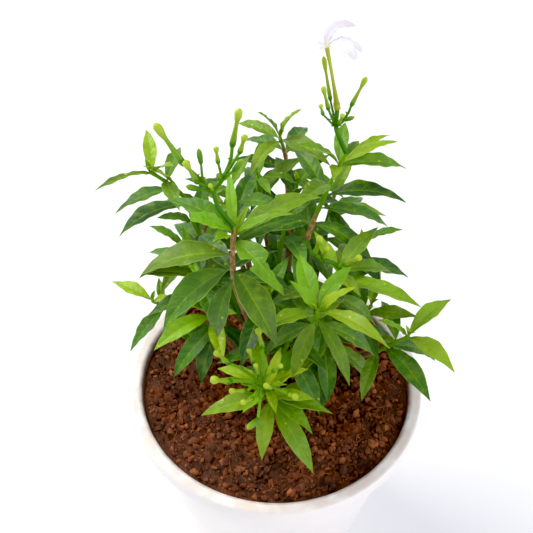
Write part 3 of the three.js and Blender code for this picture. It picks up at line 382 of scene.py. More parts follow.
def smooth_path(points, pieces):
    """A curve through the points: between two of them, a cubic with the slope at each point
    that its neighbours give."""
    p = np.array(points, float)
    slope = np.gradient(p, axis=0)
    at = np.linspace(0, len(p) - 1, pieces + 1)
    i = np.minimum(at.astype(int), len(p) - 2)
    return eased((at - i)[:, None], p[i], slope[i], p[i + 1], slope[i + 1])


def smooth_values(profile, at):
    """A profile's radius at the given shares, eased between its points."""
    share, radius = profile.T
    i = np.clip(np.searchsorted(share, at) - 1, 0, len(share) - 2)
    gap = share[i + 1] - share[i]
    t = np.clip((at - share[i]) / gap, 0, 1)
    slope = np.gradient(radius, share)
    return eased(t, radius[i], gap * slope[i], radius[i + 1], gap * slope[i + 1])


def unit(vectors):
    """The vectors at length 1."""
    return vectors / np.linalg.norm(vectors, axis=-1, keepdims=True)


def turns(count):
    """Even turns of a full circle, in radians."""
    return 2 * pi * np.arange(count) / count


def square_to(along):
    """Two directions at each point of a path, square to the path and to each other."""
    lead = np.eye(3)[np.abs(along).max(0).argmin()]
    u = unit(np.cross(lead, along))
    return u, np.cross(along, u)


def tube_rings(path, radii, around, swell=None):
    """Rings square to a path: each point is the path's point plus the radius times the cosine and
    sine of its turn along two directions across the path. swell is a share added to the radius at
    each ring and turn."""
    u, v = square_to(unit(np.gradient(path, axis=0)))
    turn = turns(around)
    reach = np.asarray(radii)[:, None] * (1 + (0 if swell is None else swell))
    return (path[:, None] + reach[..., None] * (np.cos(turn)[None, :, None] * u[:, None]
            + np.sin(turn)[None, :, None] * v[:, None]))


def along_uv(rows, around):
    """UV of a tube: across in the middle, and along from 0 to 1."""
    return np.stack(np.broadcast_arrays(0.5, np.linspace(0, 1, rows)[:, None],
                                        np.zeros((rows, around)))[:2], -1)


def lay_tube(piece, path, radii, around, age=(0.5, 0.5), tone=0.5, swell=None, finish=0,
             woody=(0, 0)):
    """Adds a closed tube to a piece. Its age and its woody part run evenly from start to end."""
    rings = tube_rings(path, radii, around, swell)
    points, quads, tris, uv = skin(rings, along_uv(len(path), around))
    ages, parts = (np.interp(uv[:, 1], [0, 1], ends) for ends in (age, woody))
    piece.add(points, quads, tris, uv, ages, tone, parts, finish)


# Repeatable draws


def draw(key):
    """A repeatable draw from 0 to 1 for each whole-number key, as the solids use."""
    x = np.sin(key * 12.9898 + 4.1414) * 43758.5453
    return x - np.floor(x)


def spread(key, half):
    """A repeatable draw from minus to plus the half."""
    return (2 * draw(key) - 1) * half


# Finishes


def seen(red, green, blue):
    """A colour as seen on a screen, from 0 to 255, as the light values that a shader takes."""
    c = np.array([red, green, blue]) / 255
    return (*np.where(c < 0.04045, c / 12.92, ((c + 0.055) / 1.055) ** 2.4), 1)


class Finish:
    """A material in the making, with short ways to add and join its nodes."""

    def __init__(self, name, roughness=0.5, **settings):
        self.material = bpy.data.materials.new(name)
        self.material.use_nodes = True
        self.nodes = self.material.node_tree.nodes
        self.surface = self.nodes["Principled BSDF"]
        self.set("Roughness", roughness)
        for socket, value in settings.items():
            self.set(socket.replace("_", " "), value)
        self.coordinates = self.nodes.new("ShaderNodeTexCoord")

    def join(self, socket, value):
        """Feeds a socket from another, or sets it to a plain value."""
        if isinstance(value, bpy.types.NodeSocket):
            self.material.node_tree.links.new(value, socket)
        else:
            socket.default_value = value

    def set(self, socket, value):
        self.join(self.surface.inputs[socket], value)

    def place(self):
        """Where the point lies in the object, in metres."""
        return self.coordinates.outputs["Object"]

    def layout(self):
        """The piece's own UV map."""
        return self.coordinates.outputs["UV"]

    def axes(self, vector):
        """The three numbers of a vector."""
        node = self.nodes.new("ShaderNodeSeparateXYZ")
        self.join(node.inputs[0], vector)
        return node.outputs

    def across_along(self):
        """How far across, from 0 at the rib to 1 at an edge, and how far along a blade."""
        across, along, _ = self.axes(self.layout())
        return self.math("ABSOLUTE", self.math("MULTIPLY_ADD", across, 2.0, -1.0)), along

    def trait(self, name):
        """One of the traits of the mesh's points."""
        node = self.nodes.new("ShaderNodeAttribute")
        node.attribute_name = name
        return node.outputs["Fac"]

    def math(self, operation, *values):
        node = self.nodes.new("ShaderNodeMath")
        node.operation = operation
        for socket, value in zip(node.inputs, values):
            self.join(socket, value)
        return node.outputs[0]

    def grade(self, value, start, end, low=0.0, high=1.0):
        """A value that goes smoothly from low to high as the given one goes from start to end."""
        node = self.nodes.new("ShaderNodeMapRange")
        node.interpolation_type = "SMOOTHSTEP"
        for socket, given in zip(node.inputs, (value, start, end, low, high)):
            self.join(socket, given)
        return node.outputs[0]

    def noise(self, scale, detail=3.0, vector=None, roughness=0.55):
        """Soft noise from 0 to 1 over the point's place, or over another vector."""
        node = self.nodes.new("ShaderNodeTexNoise")
        self.join(node.inputs["Vector"], vector or self.place())
        for socket, value in (("Scale", scale), ("Detail", detail), ("Roughness", roughness)):
            self.join(node.inputs[socket], value)
        return node.outputs[0]

    def cells(self, scale, feature="F1", vector=None):
        """The distance from the middle or the edge of a scattered cell."""
        node = self.nodes.new("ShaderNodeTexVoronoi")
        node.feature = feature
        self.join(node.inputs["Vector"], vector or self.place())
        self.join(node.inputs["Scale"], scale)
        return node.outputs["Distance"]

    def stretch(self, vector, scale):
        node = self.nodes.new("ShaderNodeMapping")
        self.join(node.inputs["Vector"], vector)
        self.join(node.inputs["Scale"], scale)
        return node.outputs[0]

    def mix(self, share, a, b):
        node = self.nodes.new("ShaderNodeMix")
        node.data_type = "RGBA"
        for number, value in ((0, share), (6, a), (7, b)):
            self.join(node.inputs[number], value)
        return node.outputs[2]

    def tint(self, base, colour, share, mask):
        """The base colour with a share of another where the mask is 1."""
        return self.mix(self.math("MULTIPLY", mask, share), base, colour)

    def mottle(self, base, colour, share, field, start, end):
        """The base colour with up to a share of another as a field goes from start to end."""
        return self.mix(self.grade(field, start, end, 0.0, share), base, colour)

    def bump(self, height, distance, strength=0.5):
        node = self.nodes.new("ShaderNodeBump")
        for socket, value in (("Height", height), ("Distance", distance), ("Strength", strength)):
            self.join(node.inputs[socket], value)
        self.set("Normal", node.outputs[0])


def leaf_finish():
    """Satin leaf: yellow-green when young and deep green when mature, softly mottled, with a pale
    rib, faint side veins that run forward to the margin, a fine net, a pale margin, small yellow
    flecks and a dull lighter underside."""
    f = Finish("leaf", Specular_IOR_Level=0.5)
    across, along = f.across_along()
    age, tone, under = f.trait("age"), f.trait("tone"), f.trait("part")
    young = f.mix(tone, seen(178, 208, 14), seen(116, 182, 9))
    mature = f.mix(tone, seen(33, 84, 4), seen(70, 130, 5))
    blade = f.mix(age, young, mature)
    patches = f.math("MULTIPLY", f.grade(f.noise(55.0), 0.4, 0.68), age)
    blade = f.tint(blade, seen(29, 75, 7), 0.45, patches)
    blade = f.mottle(blade, seen(150, 188, 12), 0.34, f.noise(130.0), 0.48, 0.72)
    blade = f.mottle(blade, seen(42, 100, 4), 0.22, f.noise(230.0), 0.5, 0.7)
    centre = f.math("MULTIPLY", f.grade(across, 0.5, 0.05), f.grade(along, 1.0, 0.3))
    blade = f.tint(blade, seen(133, 177, 15), 0.18, centre)

    run = f.math("MULTIPLY_ADD", f.math("POWER", across, VEIN_BEND), -VEIN_LEAN, along)
    step = f.math("FRACT", f.math("MULTIPLY", run, float(SIDE_VEINS)))
    from_vein = f.math("ABSOLUTE", f.math("SUBTRACT", step, 0.5))
    vein = f.grade(from_vein, 0.0, 0.1, 1.0, 0.0)
    vein = f.math("MULTIPLY", vein, f.grade(across, 0.95, 0.6))
    blade = f.tint(blade, seen(148, 195, 40), 0.2, vein)
    blade = f.tint(blade, seen(180, 212, 48), 0.5, f.grade(across, 0.94, 0.99))
    blade = f.tint(blade, seen(159, 203, 44), 0.42, f.grade(across, 0.015, 0.06, 1.0, 0.0))
    flecks = f.grade(f.cells(150.0), 0.16, 0.05)
    flecks = f.math("MULTIPLY", flecks, f.grade(f.noise(38.0, 1.0), 0.5, 0.58))
    blade = f.tint(blade, seen(210, 217, 44), 0.85, flecks)
    blade = f.tint(blade, seen(108, 153, 47), 0.45, under)
    f.set("Base Color", blade)

    satin = f.grade(f.noise(90.0), 0.3, 0.7, 0.24, 0.42)
    f.set("Roughness", f.math("MULTIPLY_ADD", under, 0.2, satin))
    net = f.cells(30.0, "DISTANCE_TO_EDGE", f.stretch(f.layout(), (0.6, 1.6, 1.0)))
    net = f.math("MULTIPLY", f.grade(net, 0.0, 0.12), 0.3)
    relief = f.math("MULTIPLY_ADD", vein, -0.4, net)
    relief = f.math("MULTIPLY_ADD", f.noise(210.0, 2.0), 0.7, relief)
    f.bump(relief, 0.0004, 0.6)
    return f.material


def green_stem_finish():
    """Young stem and flower stalks: smooth deep green, yellower towards the tip, and tan with
    corky specks where it turns to wood."""
    f = Finish("green stem", roughness=0.38, Specular_IOR_Level=0.25)
    age, woody = f.trait("age"), f.trait("part")
    green = f.mix(age, seen(134, 184, 14), seen(58, 122, 8))
    green = f.mottle(green, seen(96, 153, 24), 0.3, f.noise(150.0), 0.45, 0.75)
    tan = f.mix(f.grade(f.noise(420.0, 4.0), 0.42, 0.62), seen(135, 101, 62), seen(205, 155, 96))
    ragged = f.math("MULTIPLY_ADD", f.noise(260.0), 0.3, woody)
    f.set("Base Color", f.mix(f.grade(ragged, 0.45, 0.8), green, tan))
    f.bump(f.noise(420.0, 2.0), 0.0002, 0.4)
    return f.material


def bark_finish():
    """Woody stem: grey-brown bark with fine cracks along it and pale pores, tan where it is
    younger."""
    f = Finish("bark", roughness=0.82, Specular_IOR_Level=0.3)
    age, tone = f.trait("age"), f.trait("tone")
    young = f.mix(tone, seen(155, 124, 77), seen(175, 135, 86))
    old = f.mix(tone, seen(108, 84, 59), seen(139, 111, 82))
    bark = f.mix(age, young, old)
    stripes = f.noise(300.0, 5.0, f.stretch(f.place(), (1.0, 1.0, 0.22)), 0.7)
    bark = f.mottle(bark, seen(73, 55, 42), 0.6, stripes, 0.45, 0.62)
    pores = f.grade(f.cells(420.0), 0.22, 0.08)
    bark = f.tint(bark, seen(195, 163, 124), 0.5, pores)
    f.set("Base Color", bark)
    f.bump(f.math("SUBTRACT", pores, stripes), 0.0005, 0.7)
    return f.material


def bud_finish():
    """Bud: satin olive yellow-green, paler at the head of a grown one, and green all over while it
    is young."""
    f = Finish("bud", roughness=0.42, Specular_IOR_Level=0.35)
    age, tone = f.trait("age"), f.trait("tone")
    head = f.mix(tone, seen(166, 192, 37), seen(185, 205, 57))
    olive = f.mix(tone, seen(148, 177, 29), seen(124, 166, 24))
    bud = f.mix(f.grade(age, 0.0, 0.45), head, olive)
    bud = f.mix(f.grade(age, 0.5, 1.0), bud, seen(64, 131, 20))
    bud = f.mottle(bud, seen(104, 155, 27), 0.3, f.noise(240.0), 0.45, 0.8)
    f.set("Base Color", bud)
    f.bump(f.noise(600.0, 2.0), 0.0001, 0.4)
    return f.material


def petal_finish():
    """Petal: soft white with faint lilac streaks along it, yellowish at its narrow foot. One petal
    is a greyer lilac than the others, a painted shade on it."""
    f = Finish("petal", roughness=0.55, Sheen_Weight=0.1, Specular_IOR_Level=0.3)
    across, along = f.across_along()
    streaks = f.noise(9.0, 1.0, f.stretch(f.layout(), (1.6, 0.12, 1.0)))
    # Tone 1 turns one petal a greyer lilac: painted shade.
    white = f.mix(f.trait("tone"), seen(242, 241, 243), seen(214, 210, 217))
    white = f.mottle(white, seen(209, 204, 217), 0.35, streaks, 0.4, 0.7)
    white = f.mix(f.grade(along, 0.16, 0.0), white, seen(225, 223, 149))
    white = f.mottle(white, seen(229, 227, 235), 0.4, across, 0.9, 1.0)
    f.set("Base Color", white)
    return f.material


def tube_finish():
    """Flower tube: olive green at its foot to cream at its mouth, softly mottled."""
    f = Finish("flower tube", roughness=0.45, Specular_IOR_Level=0.35)
    _, along = f.across_along()
    tube = f.mix(f.grade(along, 0.05, 0.75), seen(153, 163, 24), seen(185, 190, 57))
    tube = f.mix(f.grade(along, 0.85, 1.0), tube, seen(237, 234, 166))
    tube = f.mottle(tube, seen(131, 153, 29), 0.3, f.noise(300.0, 2.0), 0.5, 0.8)
    f.set("Base Color", tube)
    return f.material


def soil_finish():
    """Coir mix: each chunk has its own shade from near black to rust and orange, with fibres drawn
    along it, in patches that are darker or redder over a couple of centimetres."""
    f = Finish("coir", roughness=0.9, Specular_IOR_Level=0.4)
    age, tone = f.trait("age"), f.trait("tone")
    dark = f.mix(tone, seen(56, 37, 29), seen(91, 55, 41))
    rust = f.mix(tone, seen(137, 78, 48), seen(189, 114, 68))
    crumb = f.mix(age, dark, rust)
    fibres = f.noise(800.0, 4.0, f.stretch(f.place(), (1.0, 0.35, 0.6)), 0.7)
    crumb = f.mottle(crumb, seen(208, 124, 69), 0.35, fibres, 0.5, 0.7)
    crumb = f.mottle(crumb, seen(51, 29, 19), 0.5, f.noise(420.0, 4.0), 0.5, 0.7)
    crumb = f.mottle(crumb, seen(46, 30, 21), 0.55, f.noise(55.0, 2.0), 0.5, 0.68)
    crumb = f.mottle(crumb, seen(166, 86, 37), 0.35, f.noise(38.0, 2.0), 0.52, 0.7)
    f.set("Base Color", crumb)
    f.bump(fibres, 0.0006, 0.7)
    return f.material


def pot_finish():
    """White moulded plastic: a faint ripple and fine grain, slight scuffs near the foot, a brown
    band inside the rim that is partly traces of the mix and partly painted shade on the inner wall,
    and a beige tint on its lip. Heights are metres."""
    f = Finish("white plastic", roughness=0.38, Specular_IOR_Level=0.4)
    height = f.axes(f.place())[2]
    white = f.mix(f.grade(f.noise(14.0), 0.35, 0.75), seen(249, 245, 241), seen(244, 240, 236))
    scuff = f.grade(f.noise(60.0, 6.0, f.stretch(f.place(), (1.0, 1.0, 3.0)), 0.7), 0.58, 0.7)
    scuff = f.math("MULTIPLY", scuff, f.grade(height, 0.05, 0.0))
    white = f.tint(white, seen(206, 200, 190), 0.5, scuff)
    # A beige tint on the rim's lip.
    lip_tint = f.grade(height, 0.1638, 0.1648)
    lip_tint = f.math("MULTIPLY", lip_tint, f.grade(f.noise(70.0, 4.0), 0.3, 0.6))
    white = f.tint(white, seen(222, 198, 182), 0.5, lip_tint)
    # Brown band low on the inner wall: partly traces of the mix, partly painted shade on the wall.
    band_edge_height = f.math("MULTIPLY_ADD", f.noise(120.0, 4.0), 0.006, height)
    soil_band_and_shade = f.math("MULTIPLY", f.trait("part"), f.grade(band_edge_height, 0.1695, 0.1635))
    white = f.tint(white, seen(126, 94, 76), 0.95, soil_band_and_shade)
    f.set("Base Color", white)
    f.set("Roughness", f.grade(f.noise(40.0, 4.0), 0.3, 0.7, 0.34, 0.46))
    f.bump(f.noise(700.0, 2.0), 0.0001, 0.35)
    return f.material


LEAF = leaf_finish()
GREEN_STEM = green_stem_finish()
BARK = bark_finish()
BUD = bud_finish()
PETAL = petal_finish()
TUBE = tube_finish()
COIR = soil_finish()
WHITE_PLASTIC = pot_finish()


# Pot


def inner_radius(z):
    """The pot's inner wall, which widens evenly from the floor to the rim."""
    return FOOT_OUTER - WALL + (RIM_INNER - FOOT_OUTER + WALL) * (z - FLOOR) / (POT_HEIGHT - FLOOR)


def rounded(corners, pieces=6):
    """A profile with each corner cut back by its rounding and bridged by a quadratic arc. A corner
    is its radius, height and rounding."""
    spots = np.array([c[:2] for c in corners], float)
    line = [spots[:1]]
    for i in range(1, len(corners) - 1):
        cut = corners[i][2]
        back = spots[i] + cut * unit(spots[i - 1] - spots[i])
        on = spots[i] + cut * unit(spots[i + 1] - spots[i])
        line.append(bezier(back, spots[i], on, np.linspace(0, 1, pieces + 1)))
    return np.concatenate([*line, spots[-1:]])


def pot_profile():
    """The tub's half section from the middle of its underside, up outside and down inside. Further
    corners with next to no rounding, along the base and the walls, keep its faces short."""
    under_rim = POT_HEIGHT - RIM_DEPTH
    neck = inner_radius(under_rim) + WALL
    rise = np.linspace(0.02, 0.98, 13)
    outside = zip(FOOT_OUTER + (neck - FOOT_OUTER) * rise,
                  EDGE_ROUND + (under_rim - EDGE_ROUND) * rise, [STRAIGHT] * len(rise))
    inside = [(inner_radius(z), z, STRAIGHT) for z in np.linspace(POT_HEIGHT - 4, FLOOR + 3, 12)]
    return rounded([
        (AXIS_HOLE, 0, 0), (BASE_RING, 0, STRAIGHT), (FOOT_OUTER, 0, EDGE_ROUND), *outside,
        (neck, under_rim, NECK_ROUND), (RIM_OUTER, under_rim, EDGE_ROUND),
        (RIM_OUTER, POT_HEIGHT, LIP_ROUND), (RIM_INNER, POT_HEIGHT, LIP_ROUND), *inside,
        (inner_radius(FLOOR), FLOOR, FLOOR_ROUND), (BASE_RING, FLOOR, STRAIGHT),
        (AXIS_HOLE, FLOOR, 0),
    ])


def make_pot():
    """The half section turned round the upright axis, with round drainage holes cut through. A
    point above the floor is inside when it is nearer the inner wall than the outer one."""
    profile = pot_profile()
    turn = turns(POT_SECTORS)
    radius, height = profile[:, :1], profile[:, 1:]
    rings = np.broadcast_arrays(radius * np.cos(turn), radius * np.sin(turn), height)
    points, quads, tris, uv = skin(np.stack(rings, -1), along_uv(len(profile), POT_SECTORS))
    radius, height = np.hypot(points[:, 0], points[:, 1]), points[:, 2]
    inside = (radius < inner_radius(height) + 0.6 * WALL) & (height > FLOOR - 1)
    piece = Piece()
    piece.add(points, quads, tris, uv, part=inside)
    pot = piece.make("white_pot", [WHITE_PLASTIC], "pot", crease=35)

    cutter = Piece()
    for turn in turns(DRAIN_COUNT):
        place = DRAIN_RING * np.array([cos(turn), sin(turn), 0])
        path = place + [(0, 0, z) for z in (-FLOOR, 0.5 * FLOOR, 2 * FLOOR)]
        lay_tube(cutter, path, [DRAIN_RADIUS] * 3, 32)
    holes = cutter.make("drain_cutter", [WHITE_PLASTIC], "pot")
    cut = pot.modifiers.new("drainage holes", "BOOLEAN")
    cut.object = holes
    cut.solver = "EXACT"
    bpy.context.view_layer.update()
    evaluated = pot.evaluated_get(bpy.context.evaluated_depsgraph_get())
    finished = bpy.data.meshes.new_from_object(evaluated)
    pot.modifiers.clear()
    pot.data = finished
    bpy.data.objects.remove(holes)


# Growing mix

# Loose coir lying in the mix: how many chunks and crumbs, their sizes, how much each of their three
# widths is squashed, and how far they may stand up as a share of their size
LOOSE = [
    dict(count=1300, sizes=(2.0, 4.4), squash=(0.4, 1.15), lift=0.1),
    dict(count=2600, sizes=(0.7, 1.8), squash=(0.4, 1.3), lift=0.5),
]
LOOSE_MARGIN = 3.0
LOOSE_SINK = 0.8
LOOSE_UNEVEN = (0.62, 1.25)
TRUNK_CLEAR = 0.006
FIBRES = 300
FIBRE_MARGIN = 8.0
FIBRE_LENGTHS = (5, 15)
FIBRE_BOW = 0.35
FIBRE_LIFT = 0.9
FIBRE_ARCH = (-0.2, 0.9)
FIBRE_RADII = (0.06, 0.16, 0.2, 0.2, 0.18, 0.14, 0.05)
COIR_SEED = 7


def soil_height(x, y):
    """The solid's low relief: three crossed waves."""
    return SOIL_LEVEL + SOIL_RELIEF * (0.5 * np.sin(0.31 * x + 1.3) * np.cos(0.27 * y)
                                       + 0.3 * np.sin(0.83 * x + 0.6 * y)
                                       + 0.3 * np.cos(0.74 * x - 1.07 * y + 2))


def lay_soil_bed(piece):
    """The bed is one profile carried round: up the hole that the trunk stands in, out over the
    top, and down the inside of the pot. A ring between hole and rim is that share of the way from
    the hole's circle to the pot's, at the relief's height less a grain of short crossed waves."""
    trunk = np.array(WOOD["trunk"]["foot"][:2], float)
    edge = inner_radius(SOIL_LEVEL) - SEAT_GAP
    foot = inner_radius(FLOOR) - SEAT_GAP
    turn = turns(SOIL_SECTORS)
    circle = np.stack([np.cos(turn), np.sin(turn)], -1)
    share = np.linspace(0, 1, SOIL_ROWS)[:, None, None]
    flat = (1 - share) * (trunk + TRUNK_HOLE * circle) + share * (edge * circle)
    x, y = flat[..., 0], flat[..., 1]
    grain = np.sin(1.9 * x + 1.1 * y) * np.sin(2.3 * y - 0.7 * x) + 0.6 * np.sin(4.1 * x - 2.9 * y)
    z = soil_height(x, y) - BED_DROP + BED_GRAIN * grain
    near_rim = np.clip(8 * share[..., 0] - 7, 0, 1)
    z = np.minimum(z, SOIL_LEVEL + BED_TOP - RIM_DIP * near_rim)
    top = np.concatenate([flat, z[..., None]], -1)

    def ring(centre, radius, height):
        return np.concatenate([centre + radius * circle, np.full((SOIL_SECTORS, 1), height)], -1)

    bottom = WOOD["trunk"]["foot"][2] - SEAT_GAP
    hole = [ring(trunk, 1.0, bottom), ring(trunk, TRUNK_HOLE, bottom),
            ring(trunk, TRUNK_HOLE, HOLE_RING)]
    origin = np.zeros(2)
    sides = [ring(origin, inner_radius(z) - SEAT_GAP, z) for z in SIDE_RINGS]
    base = [ring(origin, foot, FLOOR + SEAT_GAP), ring(origin, 1.0, FLOOR + SEAT_GAP)]
    rings = np.concatenate([hole, top, sides, base])
    piece.add(*skin(rings, along_uv(len(rings), SOIL_SECTORS)), age=0.15, tone=0.3)


def blocks(random, shape, faces, centres, sizes, squash):
    """Copies of one small closed shape: each is stretched by three draws, roughened, turned by a
    drawn rotation and moved to its centre."""
    count, corners = len(centres), len(shape)
    stretched = shape * (sizes[:, None] * random.uniform(*squash, (count, 3)))[:, None]
    stretched = stretched * random.uniform(*LOOSE_UNEVEN, (count, corners, 1))
    q = unit(random.normal(size=(count, 4)))
    w, x, y, z = q.T
    turned = np.stack([
        np.stack([1 - 2 * (y * y + z * z), 2 * (x * y - w * z), 2 * (x * z + w * y)], -1),
        np.stack([2 * (x * y + w * z), 1 - 2 * (x * x + z * z), 2 * (y * z - w * x)], -1),
        np.stack([2 * (x * z - w * y), 2 * (y * z + w * x), 1 - 2 * (x * x + y * y)], -1),
    ], 1)
    points = np.einsum("nij,nkj->nki", turned, stretched) + centres[:, None]
    numbers = faces[None] + corners * np.arange(count)[:, None, None]
    return points.reshape(-1, 3), numbers.reshape(-1, 3)


def twenty_faces():
    """An icosahedron of unit radius: twelve corners from the golden ratio, and the twenty triples
    of corners that lie nearest to each other."""
    g = (1 + 5 ** 0.5) / 2
    base = [(0, a, b * g) for a in (-1, 1) for b in (-1, 1)]
    corners = np.array([np.roll(p, k) for p in base for k in range(3)], float)
    gap = np.linalg.norm(corners[:, None] - corners[None], axis=-1)
    near = (gap > 0.1) & (gap < 2.1)
    triples = [(i, j, k) for i in range(12) for j in range(i + 1, 12) for k in range(j + 1, 12)
               if near[i, j] and near[j, k] and near[i, k]]
    faces = np.array(triples)
    a, b, c = (corners[faces[:, n]] for n in range(3))
    inward = np.einsum("ij,ij->i", a, np.cross(b, c)) < 0
    faces[inward] = faces[inward][:, ::-1]
    return unit(corners), faces


def scatter(random, count, margin):
    """Even random places on the bed, clear of the trunk by a share of the bed's area and of the
    rim by the margin."""
    edge = inner_radius(SOIL_LEVEL) - SEAT_GAP - margin
    radius = edge * np.sqrt(random.uniform(TRUNK_CLEAR, 1, count))
    turn = random.uniform(0, 2 * pi, count)
    return np.stack([radius * np.cos(turn), radius * np.sin(turn)], -1)


def make_soil():
    """The bed, with chunks, crumbs and fibres of coir lying half sunk in it. A fibre is a thin tube
    along a shallow arc that rises or sinks a little in its middle."""
    random = np.random.default_rng(COIR_SEED)
    piece = Piece()
    lay_soil_bed(piece)
    shape, faces = twenty_faces()
    for kind in LOOSE:
        count = kind["count"]
        sizes = random.uniform(*kind["sizes"], count) * random.uniform(0.7, 1.0, count)
        flat = scatter(random, count, LOOSE_MARGIN)
        lift = kind["lift"] * sizes * random.uniform(0, 1, count)
        z = soil_height(flat[:, 0], flat[:, 1]) - LOOSE_SINK + lift
        centres = np.concatenate([flat, z[:, None]], -1)
        points, tris = blocks(random, shape, faces, centres, sizes, kind["squash"])
        age = np.repeat(np.clip(random.normal(0.5, 0.3, count), 0, 1), len(shape))
        tone = np.repeat(random.uniform(0, 1, count), len(shape))
        piece.add(points, np.zeros((0, 4), int), tris, np.zeros((len(points), 2)), age, tone)
    share = np.linspace(-0.5, 0.5, len(FIBRE_RADII))
    for flat in scatter(random, FIBRES, FIBRE_MARGIN):
        length = random.uniform(*FIBRE_LENGTHS)
        turn = random.uniform(0, 2 * pi)
        bow = random.uniform(-FIBRE_BOW, FIBRE_BOW) * (2 * share) ** 2
        x = flat[0] + length * (share * cos(turn) - bow * sin(turn))
        y = flat[1] + length * (share * sin(turn) + bow * cos(turn))
        arch = random.uniform(*FIBRE_ARCH) * (1 - (2 * share) ** 2)
        z = soil_height(x, y) + FIBRE_LIFT + arch
        tone = random.uniform(0, 1)
        lay_tube(piece, np.stack([x, y, z], -1), FIBRE_RADII, 4, (0.9, 0.9), tone)
    piece.make("coir_mix", [COIR], "soil", crease=55)


# Stems

SHOOT_STRAIGHT = 0.4


def foot_direction(name):
    """The way a shoot leaves its woody stem."""
    return unit(np.array(SHOOTS[name]["foot"], float) - np.array(WOOD[name]["bend"], float))


def shoot_corners(name):
    """The three points of a shoot's middle line: it leaves the wood straight, then bends."""
    foot, tip = (np.array(SHOOTS[name][end], float) for end in ("foot", "tip"))
    straight = SHOOT_STRAIGHT * np.linalg.norm(tip - foot)
    return foot, foot + straight * foot_direction(name), tip


def tip_direction(name):
    """The way a shoot points at its tip."""
    _, bend, tip = shoot_corners(name)
    return unit(tip - bend)


def wood_corners(name):
    """The three points of a woody stem's middle line."""
    stem = WOOD[name]
    if name == "trunk":
        return stem["foot"], stem["bend"], stem["top"]
    start = bezier(*wood_corners(stem["off"][0]), [stem["off"][1]])[0]
    return start, stem["bend"], np.array(SHOOTS[name]["foot"]) - SEAT_GAP * foot_direction(name)


WOOD_POINTS = 61

# Bark relief, as shares of the stem's radius, and the spacing of leaf scars in millimetres
COLLAR = 0.3
SCAR = 0.16
SCAR_DENT = 0.06
RIDGE = 0.04
ROUGHNESS = 0.05
SCAR_SPACING = (11, 15)


def bark_swell(path, around, key):
    """A share added to a stem's radius: a low collar where it leaves its parent, a dented swelling
    at each leaf scar, long ridges and a fine unevenness."""
    steps = np.linalg.norm(np.diff(path, axis=0), axis=1)
    travel = np.concatenate([[0], np.cumsum(steps)])[:, None]
    turn = turns(around)
    gap = SCAR_SPACING[0] + (SCAR_SPACING[1] - SCAR_SPACING[0]) * draw(key)
    from_scar = gap * ((travel / gap + draw(key + 1)) % 1 - 0.5)
    collar = COLLAR * np.exp(-travel / 5)
    scars = SCAR * np.exp(-(from_scar / 1.5) ** 2) - SCAR_DENT * np.exp(-(from_scar / 0.5) ** 2)
    ridges = RIDGE * np.cos(5 * turn + 0.05 * travel + key)
    rough = ROUGHNESS * np.sin(0.9 * travel + 3 * turn) * np.sin(0.47 * travel - 2 * turn + key)
    return collar + scars + ridges + rough


def make_wood():
    """Every woody stem as a tapering tube with bark relief, which is lower on the trunk. They grow
    into one another."""
    piece = Piece()
    for key, (name, stem) in enumerate(WOOD.items()):
        path = bezier(*wood_corners(name), np.linspace(0, 1, WOOD_POINTS))
        around, relief, old = (20, 0.6, 1.0) if name == "trunk" else (14, 1.0, 0.9)
        swell = relief * bark_swell(path, around, key)
        radii = np.linspace(*stem["radii"], WOOD_POINTS)
        lay_tube(piece, path, radii, around, (old, 0.25), draw(key), swell)
    piece.make("woody_stem", [BARK], "woody_stems", crease=180)


# Leaves

# Eaten leaves, by shoot and row. A bite is the side of the leaf, the shares of its length between
# which it lies and the share of the width that is left. Of a leaf without its point, a share of the
# outline is kept.
EATEN = {
    ("front_left", 5): dict(bites=[(1, 0.55, 0.85, 0.45), (-1, 0.4, 0.5, 0.35)]),
    ("front_left", 2): dict(kept=0.72),
    ("front_left", 8): dict(bites=[(1, 0.4, 0.5, 0.6)]),
}

# The ways a leaf may have given way to its neighbours: turns of its heading and rise, and cuts of
# its length. A solid's leaf is this pose when its corners lie within the match.
TURNS = [
    (0, 0), (8, 0), (-8, 0), (0, 10), (0, -10), (10, 10), (-10, 10), (10, -10), (-10, -10),
    (18, 0), (-18, 0), (0, 20), (0, -20), (20, 16), (-20, 16), (20, -16), (-20, -16),
    (32, 0), (-32, 0), (0, 32), (30, 24), (-30, 24),
]
CUTS = (1, 0.85, 0.7)
MATCH = 0.06

# Crossed pairs, from the tip down: the place of the first and the span of all as shares of the
# stem, the first one's rise and how much less each next one has, and their shares of the length
TOP_PAIR = 0.97
PAIRS_SPAN = 0.8
PAIR_RISE = 26
PAIR_FALL = 18
PAIR_LENGTHS = (0.62, 0.86, 1, 1)


def blade_axes(pose, s):
    """The leading, side and upper directions of a blade at shares s of its length. Its pitch turns
    evenly down by the droop, its heading turns by the sweep, and the roll turns it about its
    line."""
    pitch = np.radians(pose["rise"] + pose["droop"] * (0.5 - s))
    heading = np.radians(pose["heading"] + pose["sweep"] * (s - 0.5))
    roll = radians(pose["roll"])
    ahead = np.stack([np.cos(heading), np.sin(heading), np.zeros_like(heading)], -1)
    left = np.stack([-ahead[:, 1], ahead[:, 0], ahead[:, 2]], -1)
    rise, fall = np.sin(pitch)[:, None], np.cos(pitch)[:, None]
    upright = np.array([0, 0, 1.0])
    lead = ahead * fall + upright * rise
    up = upright * fall - ahead * rise
    side = left * cos(roll) + up * sin(roll)
    return lead, side, up * cos(roll) - left * sin(roll)


def blade_line(pose, s):
    """The middle line of a blade at shares s: it runs in even steps, each along the leading
    direction at the step's middle."""
    lead, _, _ = blade_axes(pose, (np.arange(BLADE_STEPS) + 0.5) / BLADE_STEPS)
    steps = np.concatenate([[pose["base"]], lead * pose["length"] / BLADE_STEPS])
    line = np.cumsum(steps, axis=0)
    whole = np.linspace(0, 1, BLADE_STEPS + 1)
    return np.stack([np.interp(s, whole, line[:, n]) for n in range(3)], -1)


